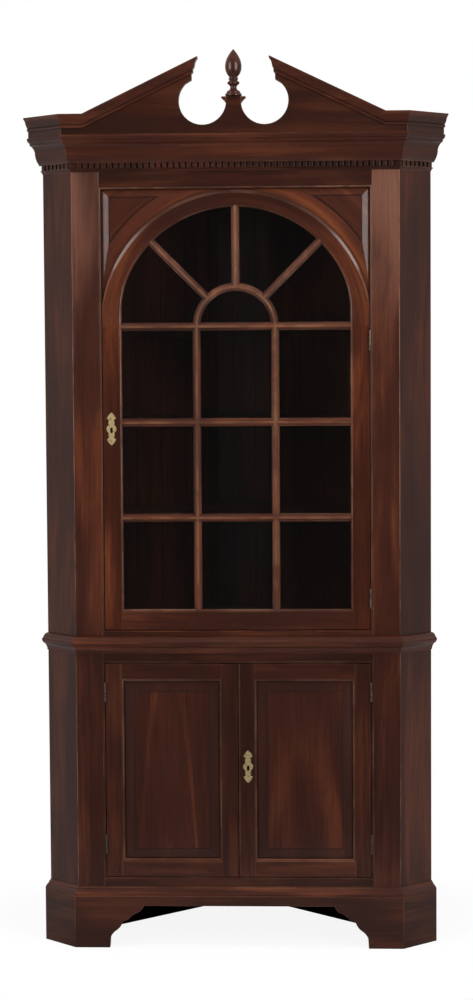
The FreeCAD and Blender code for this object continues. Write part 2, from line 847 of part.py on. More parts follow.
def make_crown():
    inner = size.fascia_projection
    level = profile(CROWN_SHARES, size.crown_projection, size.crown_height, crown_bottom, inner)
    sides = new_body("crown_sides")
    pad_on_side(sides, level, -(crown_reach * MITRE + size.overrun), side_length)
    mitre_off(sides, crown_reach + size.overrun, size.overrun, crown_bottom, crown_top, False)
    mirror(sides)
    keep("crown_sides")

    rakes = new_body("crown_rake_runs")
    tip = size.neck_half_gap - size.crown_projection
    high = profile(CROWN_SHARES, size.crown_projection, size.crown_height,
                   crown_bottom + rake_height(tip), inner)
    run = pad(rakes, "YZ_Plane", [high], tip, size.rake_start_half)
    run.UseCustomVector = True
    run.AlongSketchNormal = True
    run.Direction = FreeCAD.Vector(1, 0, -slope_share.value)
    bind(run, "Direction.z", -slope_share)
    top = crown_top + rake_height(tip)
    neck = size.neck_half_gap
    over = size.overrun
    cut(rakes, "XY_Plane", [[(neck, -inner), (tip, -crown_reach), (tip - over, -crown_reach),
                             (tip - over, -inner)]], crown_bottom - over, top + over)
    pad(rakes, "YZ_Plane", [level], size.rake_start_half, size.front_half_width + crown_reach)
    mitre_off(rakes, crown_reach + over, over, crown_bottom, crown_top, True)
    mirror(rakes)

    returns = new_body("crown_returns")
    pad(returns, "XZ_Plane", [crown_return_outline()], -crown_reach, -fascia_back)
    mitre = [(neck, -inner), (tip, -crown_reach), (tip, -crown_reach - over),
             (neck + over, -crown_reach - over), (neck + over, -inner)]
    cut(returns, "XY_Plane", [mitre], crown_bottom - over, top + over)
    mirror(returns)
    group("crown_rakes", [rakes, returns])


def crown_return_outline():
    """The crown turned back along the cut end of the pediment board."""
    neck = size.neck_half_gap
    corners = [(neck, crown_bottom + rake_height(neck))]
    for point in CROWN_SHARES:
        x = neck - size.crown_projection * point[0]
        z = crown_bottom + rake_height(x) + size.crown_height * point[1]
        corner = (x, z)
        if len(point) > 2:
            corner += (size.crown_height * point[2], point[3])
        corners.append(corner)
    corners.append((neck, crown_top + rake_height(neck)))
    return corners


def make_plinth_caps():
    body = new_body("plinth_caps")
    top = ledge + size.plinth_height
    side = size.plinth_half_width
    out = size.plinth_cap_projection
    tall = size.plinth_cap_height
    # Shares of the cap's projection and of its height, down from its top.
    shares = ((0.15, 0.92, 0.90, RIGHT), (0.75, 0.42), (0.75, 0.32), (1.00, 0.26), (1.00, 0.00))
    outline = [(side, top - tall)]
    for point in shares:
        corner = (side + out * point[0], top - tall * point[1])
        if len(point) > 2:
            corner += (tall * point[2], point[3])
        outline.append(corner)
    outline.append((side, top))
    pad(body, "XZ_Plane", [outline], -size.fascia_projection, -fascia_back)
    mirror(body)
    keep("plinth_caps")


def make_finial():
    """An urn-shaped turning with a pointed bud."""
    body = new_body("finial")
    # Shares of the largest radius and of the height.
    shares = (
        (1.00, 0.00), (1.00, 0.05), (0.82, 0.09), (0.38, 0.17), (0.40, 0.23), (0.74, 0.28),
        (0.46, 0.35), (0.59, 0.37), (0.46, 0.41), (0.90, 0.53), (1.00, 0.65), (0.84, 0.80),
        (0.42, 0.93), (0.00, 1.00))
    bottom = ledge + size.plinth_height
    corners = [(0, bottom)]
    for out_share, up_share in shares:
        corners.append((size.finial_radius * out_share, bottom + size.finial_height * up_share))
    feature = body.newObject("PartDesign::Revolution", "finial_turning")
    middle = -(size.fascia_projection + fascia_back) / 2
    sketch = add_sketch(body, "XZ_Plane", [corners], middle)
    feature.Profile = sketch
    feature.ReferenceAxis = (sketch, ["V_Axis"])
    feature.Angle = 360
    body.Tip = feature
    keep("finial")


def make_glue_blocks():
    body = new_body("pediment_glue_blocks")
    outline = [(-fascia_back, ledge), (0, ledge), (-fascia_back, ledge + size.glue_block_height)]
    place_shares = (0.40, 0.80)
    for place_share in place_shares:
        middle = size.rake_start_half * place_share
        half = size.glue_block_width / 2
        pad(body, "YZ_Plane", [outline], middle - half, middle + half)
    mirror(body)
    keep("pediment_glue_blocks")


# Upper door

def moulded_edge(flat, towards, groove=None):
    """Corners of a frame member's inner edge from its face to its back, as (depth, place)."""
    edge = flat + size.sticking * towards
    front = [(0, flat), (size.quirk, flat), (size.quirk + size.sticking, edge)]
    if groove:
        deep = edge - size.groove_depth * towards
        back = [(size.groove_front, edge), (size.groove_front, deep),
                (size.groove_front + size.groove_width, deep),
                (size.groove_front + size.groove_width, edge), (size.door_thickness, edge)]
    else:
        deep = edge - size.glass_rebate * towards
        back = [(size.glass_front, edge), (size.glass_front, deep), (size.door_thickness, deep)]
    return front, back


def upright_section(outer, flat, groove=None):
    """The plan of a door stile, from its outer edge to its moulded inner edge."""
    towards = -1 if flat.value < outer.value else 1
    front, back = moulded_edge(flat, towards, groove)
    turn = RIGHT if towards < 0 else LEFT
    corners = [(outer, 0)]
    for i, (depth, place) in enumerate(front):
        corners.append((place, depth) + ((size.sticking, turn) if i == 1 else ()))
    corners += [(place, depth) for depth, place in back]
    corners.append((outer, size.door_thickness))
    return corners


def level_section(outer, flat, groove=None):
    """The section of a door rail in the (y, z) plane."""
    towards = 1 if flat.value > outer.value else -1
    front, back = moulded_edge(flat, towards, groove)
    turn = RIGHT if towards > 0 else LEFT
    corners = [(0, outer)]
    for i, (depth, place) in enumerate(front):
        corners.append((depth, place) + ((size.sticking, turn) if i == 1 else ()))
    corners += back
    corners.append((size.door_thickness, outer))
    return corners


def arch_line(outwards, from_right=True):
    """The inner line of the arch, moved outwards, as corners from one spring to the other."""
    edge = stile_edge_x + outwards
    small = arch_shoulder_radius + outwards
    large = arch_inner_radius + outwards
    between = arch_inner_radius - arch_shoulder_radius
    touch_x = shoulder_x + small * (shoulder_x / between)
    touch_z = spring + shoulder_rise + small * (shoulder_rise / between)
    shoulder = spring + shoulder_rise
    if from_right:
        return [(edge, spring), (edge, shoulder, small, LEFT), (touch_x, touch_z, large, LEFT),
                (0, spring + large, large, LEFT), (-touch_x, touch_z, small, LEFT),
                (-edge, shoulder), (-edge, spring)]
    return [(-edge, spring), (-edge, shoulder, small, RIGHT), (-touch_x, touch_z, large, RIGHT),
            (0, spring + large, large, RIGHT), (touch_x, touch_z, small, RIGHT),
            (edge, shoulder), (edge, spring)]


# The rounding of the arch's inner edge stops just short of the quirk, so that both stay clean.
sticking_round_share = 0.99


def make_upper_door_arch():
    body = new_body("upper_door_arch")
    clip = spring + arch_clip
    outer = [(upper_half, spring), (upper_half, clip, arch_outer_radius, LEFT),
             (0, spring + arch_outer_radius, arch_outer_radius, LEFT),
             (-upper_half, clip), (-upper_half, spring)]
    pad(body, "XZ_Plane", [outer + arch_line(0, from_right=False)], 0, size.door_thickness)
    step = arch_line(size.sticking, from_right=True)
    cut(body, "XZ_Plane", [drop_to_spring(step)], -size.overrun, size.quirk)
    round_edges(body, size.sticking * sticking_round_share, is_arch_edge)
    rebate = arch_line(size.glass_rebate, from_right=True)
    cut(body, "XZ_Plane", [drop_to_spring(rebate)], size.glass_front, size.door_thickness + size.overrun)
    lip = arch_outer_radius - size.arch_lip_width
    level = clip - size.quirk
    far = arch_outer_radius + size.overrun
    lip_x = leg(lip, level - spring)
    ring = [(lip_x, level, lip, LEFT), (0, spring + lip, lip, LEFT), (-lip_x, level), (-far, level),
            (-far, spring + far), (far, spring + far), (far, level)]
    cut(body, "XZ_Plane", [ring], size.arch_lip_thickness, size.door_thickness + size.overrun)
    chamfer_edges(body, size.arch_edge_chamfer, is_outer_arch_edge)
    keep("upper_door_arch")
    return body


def drop_to_spring(line):
    """Closes an arch line below the spring, so that a cut runs out at the joint."""
    low = spring - size.overrun
    first, last = line[0], line[-1]
    return [(first[0], low)] + line[1:-1] + [(last[0], low)]


def is_arch_edge(edge):
    """True on the edges of the inner arch line that lie just under the quirk."""
    if not lies_flat(edge, size.quirk.value):
        return False
    if isinstance(edge.Curve, Part.Circle):
        radii = (arch_shoulder_radius.value, arch_inner_radius.value)
        return any(lies_at(edge.Curve.Radius, radius) for radius in radii)
    bounds = edge.BoundBox
    return lies_at(bounds.XLength, 0) and lies_at(abs(bounds.Center.x), stile_edge_x.value)


def is_outer_arch_edge(edge):
    if not lies_flat(edge, 0) or not isinstance(edge.Curve, Part.Circle):
        return False
    return lies_at(edge.Curve.Radius, arch_outer_radius.value)


def make_upper_door_frame():
    stiles = new_body("upper_door_stiles")
    pad(stiles, "XY_Plane", [upright_section(upper_half, stile_flat_x)], upper_bottom, spring)
    mirror(stiles)
    for low in upper_hinge_lows():
        cut_for_hinge(stiles, 1, upper_half, size.upper_opening_half_width, low)
    cut_for_lock(stiles, -upper_half, 1, upper_lock_z, size.upper_key_set)
    keep("upper_door_stiles")

    rail = new_body("upper_door_rail_blank")
    half = stile_edge_x + size.glass_rebate
    pad(rail, "YZ_Plane", [level_section(upper_bottom, glass_bottom - size.sticking)], -half, half)
    fitted("upper_door_bottom_rail", rail, [stiles])

    arch = make_upper_door_arch()
    make_muntins([stiles, rail, arch])
    make_panes()


muntin_crest_share = 0.4


def muntin_section(middle, vertical=True):
    """Canted nose with a flat crest, side fillets and the stem that stands between two panes."""
    wide = size.muntin_width / 2
    nose = wide - size.muntin_fillet
    stem = size.muntin_stem / 2
    crest = nose * muntin_crest_share
    half = [(wide, size.glass_front), (wide, size.muntin_fillet_front), (nose, size.muntin_fillet_front),
            (nose, size.muntin_nose_front), (crest, size.muntin_front)]
    stems = [(-stem, size.glass_front), (-stem, size.muntin_stem_back),
             (stem, size.muntin_stem_back), (stem, size.glass_front)]
    points = half + [(-x, y) for x, y in reversed(half)] + stems
    corners = []
    for across, deep in points:
        place = across + middle
        corners.append((place, deep) if vertical else (deep, place))
    return corners


def make_muntins(frame):
    body = new_body("upper_door_muntin_lattice")
    reach = stile_flat_x
    low = glass_bottom - size.sticking
    level = pad(body, "YZ_Plane", [muntin_section(spring, vertical=False)], -reach, reach)
    repeat(body, [level], "Z_Axis", size.muntin_pitch * 2, 3, backwards=True)
    upright = pad(body, "XY_Plane", [muntin_section(size.muntin_x)], low, spring)
    mirror(body, [upright])
    turning = body.newObject("PartDesign::Revolution", "small_arch")
    sketch = add_sketch(body, "XY_Plane", [muntin_section(size.muntin_x)], spring)
    turning.Profile = sketch
    turning.ReferenceAxis = (sketch, ["V_Axis"])
    turning.Angle = 180
    turning.Reversed = True
    turning.Refine = False
    body.Tip = turning
    high = arch_inner_radius + size.sticking
    pad(body, "XY_Plane", [muntin_section(0)], spring + size.muntin_x, spring + high)
    spoke = body.newObject("PartDesign::Pad", "right_spoke")
    spoke.Profile = add_sketch(body, "XY_Plane", [muntin_section(0)],
                               spring + size.muntin_x * DIAGONAL, SIDE_ANGLE, size.muntin_x * DIAGONAL)
    bind(spoke, "Length", high - size.muntin_x)
    spoke.Refine = False
    body.Tip = spoke
    mirror(body, [spoke])
    fitted("upper_door_muntins", body, frame)


def make_panes():
    """Fourteen panes: one sheet with the shape of the rebate, parted where the stems stand."""
    body = new_body("upper_door_panes")
    out = size.glass_rebate - size.glass_clearance
    edge = stile_edge_x + out
    low = glass_bottom - out
    sheet_line = [(-edge, low), (edge, low)] + arch_line(out)[1:-1]
    front = size.glass_front
    back = front + size.glass_thickness
    pad(body, "XZ_Plane", [sheet_line], front, back)
    half = size.muntin_stem / 2 + size.glass_clearance
    start = front - size.overrun
    end = back + size.overrun
    over = size.overrun
    inside = size.muntin_x - half
    outside = size.muntin_x + half
    for x in (size.muntin_x, -size.muntin_x):
        cut(body, "XZ_Plane", [box(x - half, x + half, low - over, spring)], start, end)
    for i in range(3):
        z = spring - size.muntin_pitch * i
        cut(body, "XZ_Plane", [box(-edge - over, edge + over, z - half, z + half)], start, end)
    ring = [(outside, spring, outside, LEFT), (0, spring + outside, outside, LEFT), (-outside, spring),
            (-inside, spring, inside, RIGHT), (0, spring + inside, inside, RIGHT), (inside, spring)]
    cut(body, "XZ_Plane", [ring], start, end)
    for angle in (45, 90, 135):
        along_x = math.cos(math.radians(angle))
        along_z = math.sin(math.radians(angle))
        near = size.muntin_x
        far = arch_inner_radius + size.glass_rebate + over
        strip = []
        for reach, sign in ((near, -1), (far, -1), (far, 1), (near, 1)):
            strip.append((reach * along_x + half * (sign * -along_z),
                          spring + reach * along_z + half * (sign * along_x)))
        cut(body, "XZ_Plane", [strip], start, end)
    keep("upper_door_panes")


# Raised panels

def add_raised_panel(body, blank, rim, field, edge_front, field_front, back):
    """A thin panel with bevels that rise to a field with a small step."""
    pad(body, "XZ_Plane", [blank], edge_front, back)
    step = field_front + size.panel_step
    loft(body, "XZ_Plane", field, step, rim, edge_front)
    pad(body, "XZ_Plane", [field], field_front, step)


def bevel_section(end, rim, field):
    """What a bevel takes off a panel, as (place, depth): a small step, then a slope to the rim."""
    clear = size.spandrel_field_front - size.overrun
    return [(field, clear), (field, size.spandrel_field_front + size.panel_step),
            (rim, size.spandrel_edge_front), (end, size.spandrel_edge_front), (end, clear)]


def make_spandrels():
    body = new_body("spandrel_panels")
    side = size.upper_opening_half_width
    top = upper_opening_top
    bottom = spring + arch_clip
    hidden = arch_outer_radius - size.arch_lip_width + size.quirk
    low_x = leg(hidden, bottom - spring)
    blank = [(side, bottom), (side, top), (0, top), (0, spring + hidden, hidden, RIGHT), (low_x, bottom)]
    pad(body, "XZ_Plane", [blank], size.spandrel_field_front, size.spandrel_back)
    bevel = size.spandrel_bevel
    over = size.overrun
    cut(body, "XY_Plane", [bevel_section(side + over, side, side - bevel)], bottom - over, top + over)
    along_top = [(y, z) for z, y in bevel_section(top + over, top, top - bevel)]
    cut(body, "YZ_Plane", [along_top], -over, side + over)
    groove = body.newObject("PartDesign::Groove", "curved_bevel")
    covered = arch_outer_radius + size.quirk
    section = bevel_section(hidden - over, covered, covered + size.spandrel_curved_bevel)
    sketch = add_sketch(body, "XY_Plane", [section], spring)
    groove.Profile = sketch
    groove.ReferenceAxis = (sketch, ["V_Axis"])
    groove.Angle = 180
    groove.Reversed = True
    groove.Refine = False
    body.Tip = groove
    mirror(body)
    keep("spandrel_panels")


def make_door_stop():
    front = size.frame_thickness
    back = front + size.door_stop_thickness
    wide = size.upper_opening_half_width + size.door_stop_lap
    narrow = upper_half - size.door_stop_lap
    arch = new_body("door_stop_arch")
    outline = [(wide, spring), (wide, upper_opening_top + size.door_stop_lap),
               (-wide, upper_opening_top + size.door_stop_lap), (-wide, spring),
               (-narrow, spring, narrow, RIGHT), (0, spring + narrow, narrow, RIGHT), (narrow, spring)]
    pad(arch, "XZ_Plane", [outline], front, back)
    strips = new_body("door_stop_strips")
    pad(strips, "XZ_Plane", [box(narrow, wide, upper_floor_top, spring)], front, back)
    mirror(strips)
    group("door_stop", [arch, strips])


upper_floor_top = upper_bottom + size.door_foot_gap * 2
lower_floor_top = lower_opening_bottom + size.door_foot_gap * 3
upper_lock_z = upper_opening_bottom + size.upper_lock_height
lower_lock_z = lower_opening_bottom + size.lower_lock_height


# Lower doors

lower_half = size.lower_opening_half_width - size.door_gap
lower_bottom = lower_opening_bottom + size.door_gap
lower_top = lower_opening_top - size.door_gap
meeting_x = size.door_gap / 2


def make_lower_door(name, side):
    stiles = new_body(name + "_stiles")
    outer_flat = (lower_half - size.lower_stile + size.sticking) * side
    inner_flat = (meeting_x + size.lower_stile - size.sticking) * side
    pad(stiles, "XY_Plane", [upright_section(lower_half * side, outer_flat, True)], lower_bottom, lower_top)
    meeting = upright_section(meeting_x * side, inner_flat, True)
    if side > 0:
        meeting = with_edge_bead(meeting)
    pad(stiles, "XY_Plane", [meeting], lower_bottom, lower_top)
    for low in lower_hinge_lows():
        cut_for_hinge(stiles, side, lower_half, size.lower_opening_half_width, low)
    if side > 0:
        cut_for_lock(stiles, meeting_x, 1, lower_lock_z, size.lower_key_set)
    else:
        cut_mortise(stiles, -meeting_x, -1, lower_lock_z)
    keep(name + "_stiles")

    rails = new_body(name + "_rail_blanks")
    ends = sorted((outer_flat - size.groove_depth * -side, inner_flat - size.groove_depth * side),
                  key=lambda place: place.value)
    sections = (level_section(lower_bottom, lower_bottom + size.lower_rail - size.sticking, True),
                level_section(lower_top, lower_top - size.lower_rail + size.sticking, True))
    for section in sections:
        pad(rails, "YZ_Plane", [section], ends[0], ends[1])
    fitted(name + "_rails", rails, [stiles])

    panel = new_body(name + "_panel")
    x_near = (meeting_x + size.lower_stile) * side
    x_far = (lower_half - size.lower_stile) * side
    left, right = sorted((x_near, x_far), key=lambda place: place.value)
    low = lower_bottom + size.lower_rail
    high = lower_top - size.lower_rail
    tongue = size.panel_tongue
    blank = box(left - tongue, right + tongue, low - tongue, high + tongue)
    shy = size.panel_clearance
    rim = box(left + shy, right - shy, low + shy, high - shy)
    bevel = size.panel_bevel
    field = box(left + bevel, right - bevel, low + bevel, high - bevel)
    add_raised_panel(panel, blank, rim, field, size.groove_front + shy, size.panel_field_front,
                     size.groove_front + size.groove_width - shy)
    keep(name + "_panel")


def with_edge_bead(section):
    """Works a round bead and its quirk on the outer edge of a stile section."""
    radius = size.meeting_bead / 2
    beyond = meeting_x + size.meeting_bead
    bead = [(meeting_x, radius, radius, LEFT), (meeting_x + radius, 0, radius, LEFT),
            (beyond, radius), (beyond + size.quirk, radius), (beyond + size.quirk, 0)]
    return bead + section[1:]


# Hinges

def hinge_axis_x(opening_half_width):
    return opening_half_width - size.door_gap / 2


def cut_for_hinge(body, side, door_edge, opening_edge, low):
    """Sinks a leaf in the door's edge, and clears the knuckles."""
    high = low + size.hinge_length
    inner = door_edge - size.hinge_leaf_thickness
    over = size.overrun
    leaf = box(*sorted_pair(inner * side, (door_edge + over) * side), 0, size.hinge_leaf_width)
    cut(body, "XY_Plane", [leaf], low, high)
    clear = size.knuckle_radius + size.knuckle_clearance
    near = hinge_axis_x(opening_edge) - clear
    notch = box(*sorted_pair(near * side, (door_edge + over) * side), -over, clear - size.hinge_axis_front)
    cut(body, "XY_Plane", [notch], low - size.knuckle_gap, high + size.knuckle_gap)


def cut_bead_for_hinge(body, side, opening_edge, low):
    high = low + size.hinge_length
    over = size.overrun
    outer = opening_edge + size.hinge_leaf_thickness
    leaf = box(*sorted_pair((opening_edge - over) * side, outer * side), 0, size.hinge_leaf_width)
    cut(body, "XY_Plane", [leaf], low, high)
    clear = size.knuckle_radius + size.knuckle_clearance
    far = hinge_axis_x(opening_edge) + clear
    notch = box(*sorted_pair((opening_edge - over) * side, far * side), -over, clear - size.hinge_axis_front)
    cut(body, "XY_Plane", [notch], low - size.knuckle_gap, high + size.knuckle_gap)


def sorted_pair(one, other):
    return (one, other) if one.value < other.value else (other, one)


knuckle_count = 3


def add_hinge_leaf(body, opening_edge, low, on_frame, side=1):
    """One leaf: two knuckles and the pin on the frame, one knuckle between them on the door."""
    axis = hinge_axis_x(opening_edge) * side
    thick = size.hinge_leaf_thickness
    near = opening_edge if on_frame else opening_edge - size.door_gap
    far = near + thick if on_frame else near - thick
    inner, outer = sorted_pair(near * side, far * side)
    knuckle = size.hinge_length / knuckle_count
    leaf_start = size.knuckle_radius + size.knuckle_clearance - size.hinge_axis_front
    pad(body, "XY_Plane", [box(inner, outer, leaf_start, size.hinge_leaf_width)], low,
        low + size.hinge_length)
    for place in ((0, 2) if on_frame else (1,)):
        start = low + knuckle * place + size.knuckle_gap / 2
        end = start + knuckle - size.knuckle_gap
        pad(body, "XY_Plane", [box(inner, outer, 0, leaf_start)], start, end)
        barrel = [("circle", axis, -size.hinge_axis_front, size.knuckle_radius)]
        if not on_frame:
            hole = size.pin_radius + size.pin_clearance
            barrel.append(("circle", axis, -size.hinge_axis_front, hole))
        pad(body, "XY_Plane", barrel, start, end)
    if on_frame:
        pin = ("circle", axis, -size.hinge_axis_front, size.pin_radius)
        pad(body, "XY_Plane", [pin], low + knuckle - size.knuckle_gap, low + knuckle * 2 + size.knuckle_gap)


def upper_hinge_lows():
    """Heights of the lower ends of the upper door's hinges; the high one hangs from the spring."""
    return upper_bottom + size.upper_hinge_low, spring - size.upper_hinge_drop - size.hinge_length


def lower_hinge_lows():
    return lower_bottom + size.lower_hinge_low, lower_top - size.lower_hinge_drop - size.hinge_length


def hinge_places():
    upper = [(size.upper_opening_half_width, low, 1) for low in upper_hinge_lows()]
    lower = [(size.lower_opening_half_width, low, side)
             for side in (1, -1) for low in lower_hinge_lows()]
    return upper, lower


def make_hinges():
    upper, lower = hinge_places()
    frame_leaves = new_body("hinge_frame_leaves")
    for edge, low, side in upper + lower:
        add_hinge_leaf(frame_leaves, edge, low, True, side)
    keep("hinge_frame_leaves")
    owners = {"upper_door": upper, "right_door": [h for h in lower if h[2] > 0],
              "left_door": [h for h in lower if h[2] < 0]}
    for owner, hinges in owners.items():
        leaves = new_body(owner + "_hinge_leaves")
        for edge, low, side in hinges:
            add_hinge_leaf(leaves, edge, low, False, side)
        keep(owner + "_hinge_leaves")


# Locks, keyholes and bolts

def keyhole(x, z):
    return [[(x - size.key_slot_width / 2, z - size.key_slot_drop),
             (x + size.key_slot_width / 2, z - size.key_slot_drop),
             (x + size.key_slot_width / 2, z), (x - size.key_slot_width / 2, z)]]


def cut_keyhole(body, x, z, start, end):
    cut(body, "XZ_Plane", [("circle", x, z, size.key_radius)], start, end)
    cut(body, "XZ_Plane", keyhole(x, z), start, end)


def lock_outline(edge, inwards, z):
    half = size.lock_height / 2
    return box(*sorted_pair(edge, edge + size.lock_width * inwards), z - half, z + half)


def cut_for_lock(body, edge, inwards, z, key_set):
    cut(body, "XZ_Plane", [box_over_edge(edge, inwards, z)], size.lock_front,
        size.door_thickness + size.overrun)
    cut_keyhole(body, edge + key_set * inwards, z, -size.overrun, size.lock_front + size.overrun)


def box_over_edge(edge, inwards, z):
    half = size.lock_height / 2
    return box(*sorted_pair(edge - size.overrun * inwards, edge + size.lock_width * inwards),
               z - half, z + half)


def cut_mortise(body, edge, inwards, z):
    """The hole that the bolt of a lock slides into."""
    half = size.bolt_height / 2 + size.bolt_clearance
    outline = box(*sorted_pair(edge - size.overrun * inwards, edge + size.bolt_mortise * inwards),
                  z - half, z + half)
    cut(body, "XZ_Plane", [outline], size.bolt_front - size.bolt_clearance,
        size.bolt_front + size.bolt_thickness + size.bolt_clearance)


def make_lock(label, edge, inwards, z, key_set):
    body = new_body(label)
    pad(body, "XZ_Plane", [lock_outline(edge, inwards, z)], size.lock_front, size.door_thickness)
    half = size.bolt_height / 2 + size.bolt_clearance
    reach = size.bolt_length + size.bolt_set_back + size.bolt_clearance
    channel = box(*sorted_pair(edge - size.overrun * inwards, edge + reach * inwards), z - half, z + half)
    cut(body, "XZ_Plane", [channel], size.bolt_front - size.bolt_clearance,
        size.bolt_front + size.bolt_thickness + size.bolt_clearance)
    cut_keyhole(body, edge + key_set * inwards, z, size.lock_front - size.overrun,
                size.bolt_front - size.bolt_clearance)
    keep(label)


def make_lock_bolt(label, edge, inwards, z):
    body = new_body(label)
    start = edge + size.bolt_set_back * inwards
    half = size.bolt_height / 2
    outline = box(*sorted_pair(start, start + size.bolt_length * inwards), z - half, z + half)
    pad(body, "XZ_Plane", [outline], size.bolt_front, size.bolt_front + size.bolt_thickness)
    keep(label)


def make_escutcheon(label, x, z):
    """A pierced brass plate with arrow-shaped ends and an oval middle."""
    body = new_body(label)
    # Shares of the half width and the half height, from the tip down to the middle.
    shares = ((0.00, 1.00, 0.75, RIGHT), (0.92, 0.60), (0.74, 0.62), (0.42, 0.50), (0.60, 0.43),
              (0.60, 0.36), (0.52, 0.25, 0.42, RIGHT))
    wide = size.escutcheon_half_width
    tall = size.escutcheon_half_height
    quarter = []
    for point in shares:
        corner = (wide * point[0], tall * point[1])
        if len(point) > 2:
            corner += (tall * point[2], point[3])
        quarter.append(corner)
    quarter.append((wide, as_size(0)))
    corners = mirror_quarter(quarter)
    outline = [(corner[0] + x, corner[1] + z) + tuple(corner[2:]) for corner in corners]
    pad(body, "XZ_Plane", [outline], -size.escutcheon_thickness, 0)
    cut_keyhole(body, x, z, -size.escutcheon_thickness - size.overrun, size.overrun)
    keep(label)


def mirror_quarter(quarter):
    """Completes a plate from its upper right quarter, walking down, round and up again."""
    def edge_data(index):
        return tuple(quarter[index][2:])
    corners = list(quarter[:-1]) + [quarter[-1]]
    last = len(quarter) - 1
    corners[last] = quarter[last][:2] + edge_data(last - 1)
    for i in range(last - 1, 0, -1):
        corners.append((quarter[i][0], -quarter[i][1]) + edge_data(i - 1))
    corners.append((quarter[0][0], -quarter[0][1]) + edge_data(0))
    for i in range(1, last):
        corners.append((-quarter[i][0], -quarter[i][1]) + edge_data(i))
    corners.append((-quarter[last][0], quarter[last][1]) + edge_data(last - 1))
    for i in range(last - 1, 0, -1):
        corners.append((-quarter[i][0], quarter[i][1]) + edge_data(i - 1))
    return corners


knob_share = 0.9
strap_share = 0.2


def make_slide_bolt():
    """The brass bolt inside the left door: its tail slides up behind the rail above."""
    x = -(meeting_x + size.lower_stile / 2)
    front = size.door_thickness
    plate_back = front + size.slide_plate_thickness
    top = lower_top - size.slide_plate_drop
    low = top - size.slide_plate_height
    half_plate = size.slide_plate_width / 2
    half_bolt = size.slide_bolt_width / 2
    gap = size.bolt_clearance
    bolt_start = plate_back + gap
    bolt_end = bolt_start + size.bolt_thickness
    strap_end = bolt_end + gap + size.slide_plate_thickness
    strap = size.slide_plate_height * strap_share
    guide = new_body("left_door_bolt_guide")
    pad(guide, "XZ_Plane", [box(x - half_plate, x + half_plate, low, top)], front, plate_back)
    wall = half_bolt + gap + size.slide_plate_thickness
    for bottom in (low, top - strap):
        for sign in (-1, 1):
            side = sorted_pair(x + (half_bolt + gap) * sign, x + wall * sign)
            pad(guide, "XZ_Plane", [box(*side, bottom, bottom + strap)], plate_back, strap_end)
        pad(guide, "XZ_Plane", [box(x - wall, x + wall, bottom, bottom + strap)], bolt_end + gap, strap_end)
    keep("left_door_bolt_guide")
    bolt = new_body("left_door_bolt")
    end = lower_top - size.slide_bolt_drop
    pad(bolt, "XZ_Plane", [box(x - half_bolt, x + half_bolt, end - size.slide_bolt_length, end)],
        bolt_start, bolt_end)
    knob = half_bolt * knob_share
    pad(bolt, "XZ_Plane", [("circle", x, low + strap + gap + knob, knob)], bolt_end,
        strap_end + size.bolt_thickness)
    keep("left_door_bolt")


def make_cases():
    make_sides("lower_sides", size.case_bottom_height, lower_case_top)
    make_backs("lower_back_panels", size.case_bottom_height, lower_case_top)
    make_stiles("lower_stiles", size.lower_opening_half_width, size.case_bottom_height, lower_case_top)
    make_rail("lower_rails", size.lower_opening_half_width,
              ((size.case_bottom_height, lower_opening_bottom - size.bead_width),
               (lower_opening_top + size.bead_width, lower_case_top)))
    make_board("lower_floor_board", size.frame_thickness, lower_floor_top - size.board_thickness)
    make_board("lower_top_board", size.frame_thickness, lower_case_top - size.board_thickness)
    make_board("lower_shelf", size.shelf_set_back, lower_shelf_bottom)
    lower_bead = make_bead("lower_opening_bead", size.lower_opening_half_width,
                           lower_opening_bottom, lower_opening_top)
    make_sides("upper_sides", lower_case_top, ledge)
    make_backs("upper_back_panels", lower_case_top, ledge)
    upper_stiles = make_stiles("upper_stiles", size.upper_opening_half_width, lower_case_top, ledge)
    cut_mortise(upper_stiles, -upper_half, -1, upper_lock_z)
    make_rail("upper_sill_rail", size.upper_opening_half_width,
              ((lower_case_top, upper_opening_bottom - size.bead_width),))
    make_rail("upper_head_rail", size.upper_opening_half_width,
              ((upper_opening_top + size.bead_width, ledge),))
    make_board("upper_floor_board", size.frame_thickness, upper_floor_top - size.board_thickness)
    make_board("upper_top_board", size.frame_thickness, ledge - size.board_thickness)
    make_board("upper_shelves", size.shelf_set_back, upper_shelf_bottom, 3, size.muntin_pitch)
    upper_bead = make_bead("upper_opening_bead", size.upper_opening_half_width,
                           upper_opening_bottom, upper_opening_top)
    upper, lower = hinge_places()
    for edge, low, side in upper:
        cut_bead_for_hinge(upper_bead, side, edge, low)
    for edge, low, side in lower:
        cut_bead_for_hinge(lower_bead, side, edge, low)
    cut_mortise(upper_bead, -upper_half, -1, upper_lock_z)
    make_cleats()


def build():
    make_cases()
    make_base()
    make_waist()
    make_dentils()
    make_cornice()
    make_pediment_board()
    make_pediment_sides()
    make_crown()
    make_plinth_caps()
    make_finial()
    make_glue_blocks()
    make_spandrels()
    make_door_stop()
    make_upper_door_frame()
    make_lock("upper_door_lock", -upper_half, 1, upper_lock_z, size.upper_key_set)
    make_lock_bolt("upper_lock_bolt", -upper_half, 1, upper_lock_z)
    make_escutcheon("upper_door_escutcheon", -upper_half + size.upper_key_set, upper_lock_z)
    make_lower_door("left_door", -1)
    make_lower_door("right_door", 1)
    make_lock("right_door_lock", meeting_x, 1, lower_lock_z, size.lower_key_set)
    make_lock_bolt("right_lock_bolt", meeting_x, 1, lower_lock_z)
    make_escutcheon("right_door_escutcheon", meeting_x + size.lower_key_set, lower_lock_z)
    make_slide_bolt()
    make_hinges()


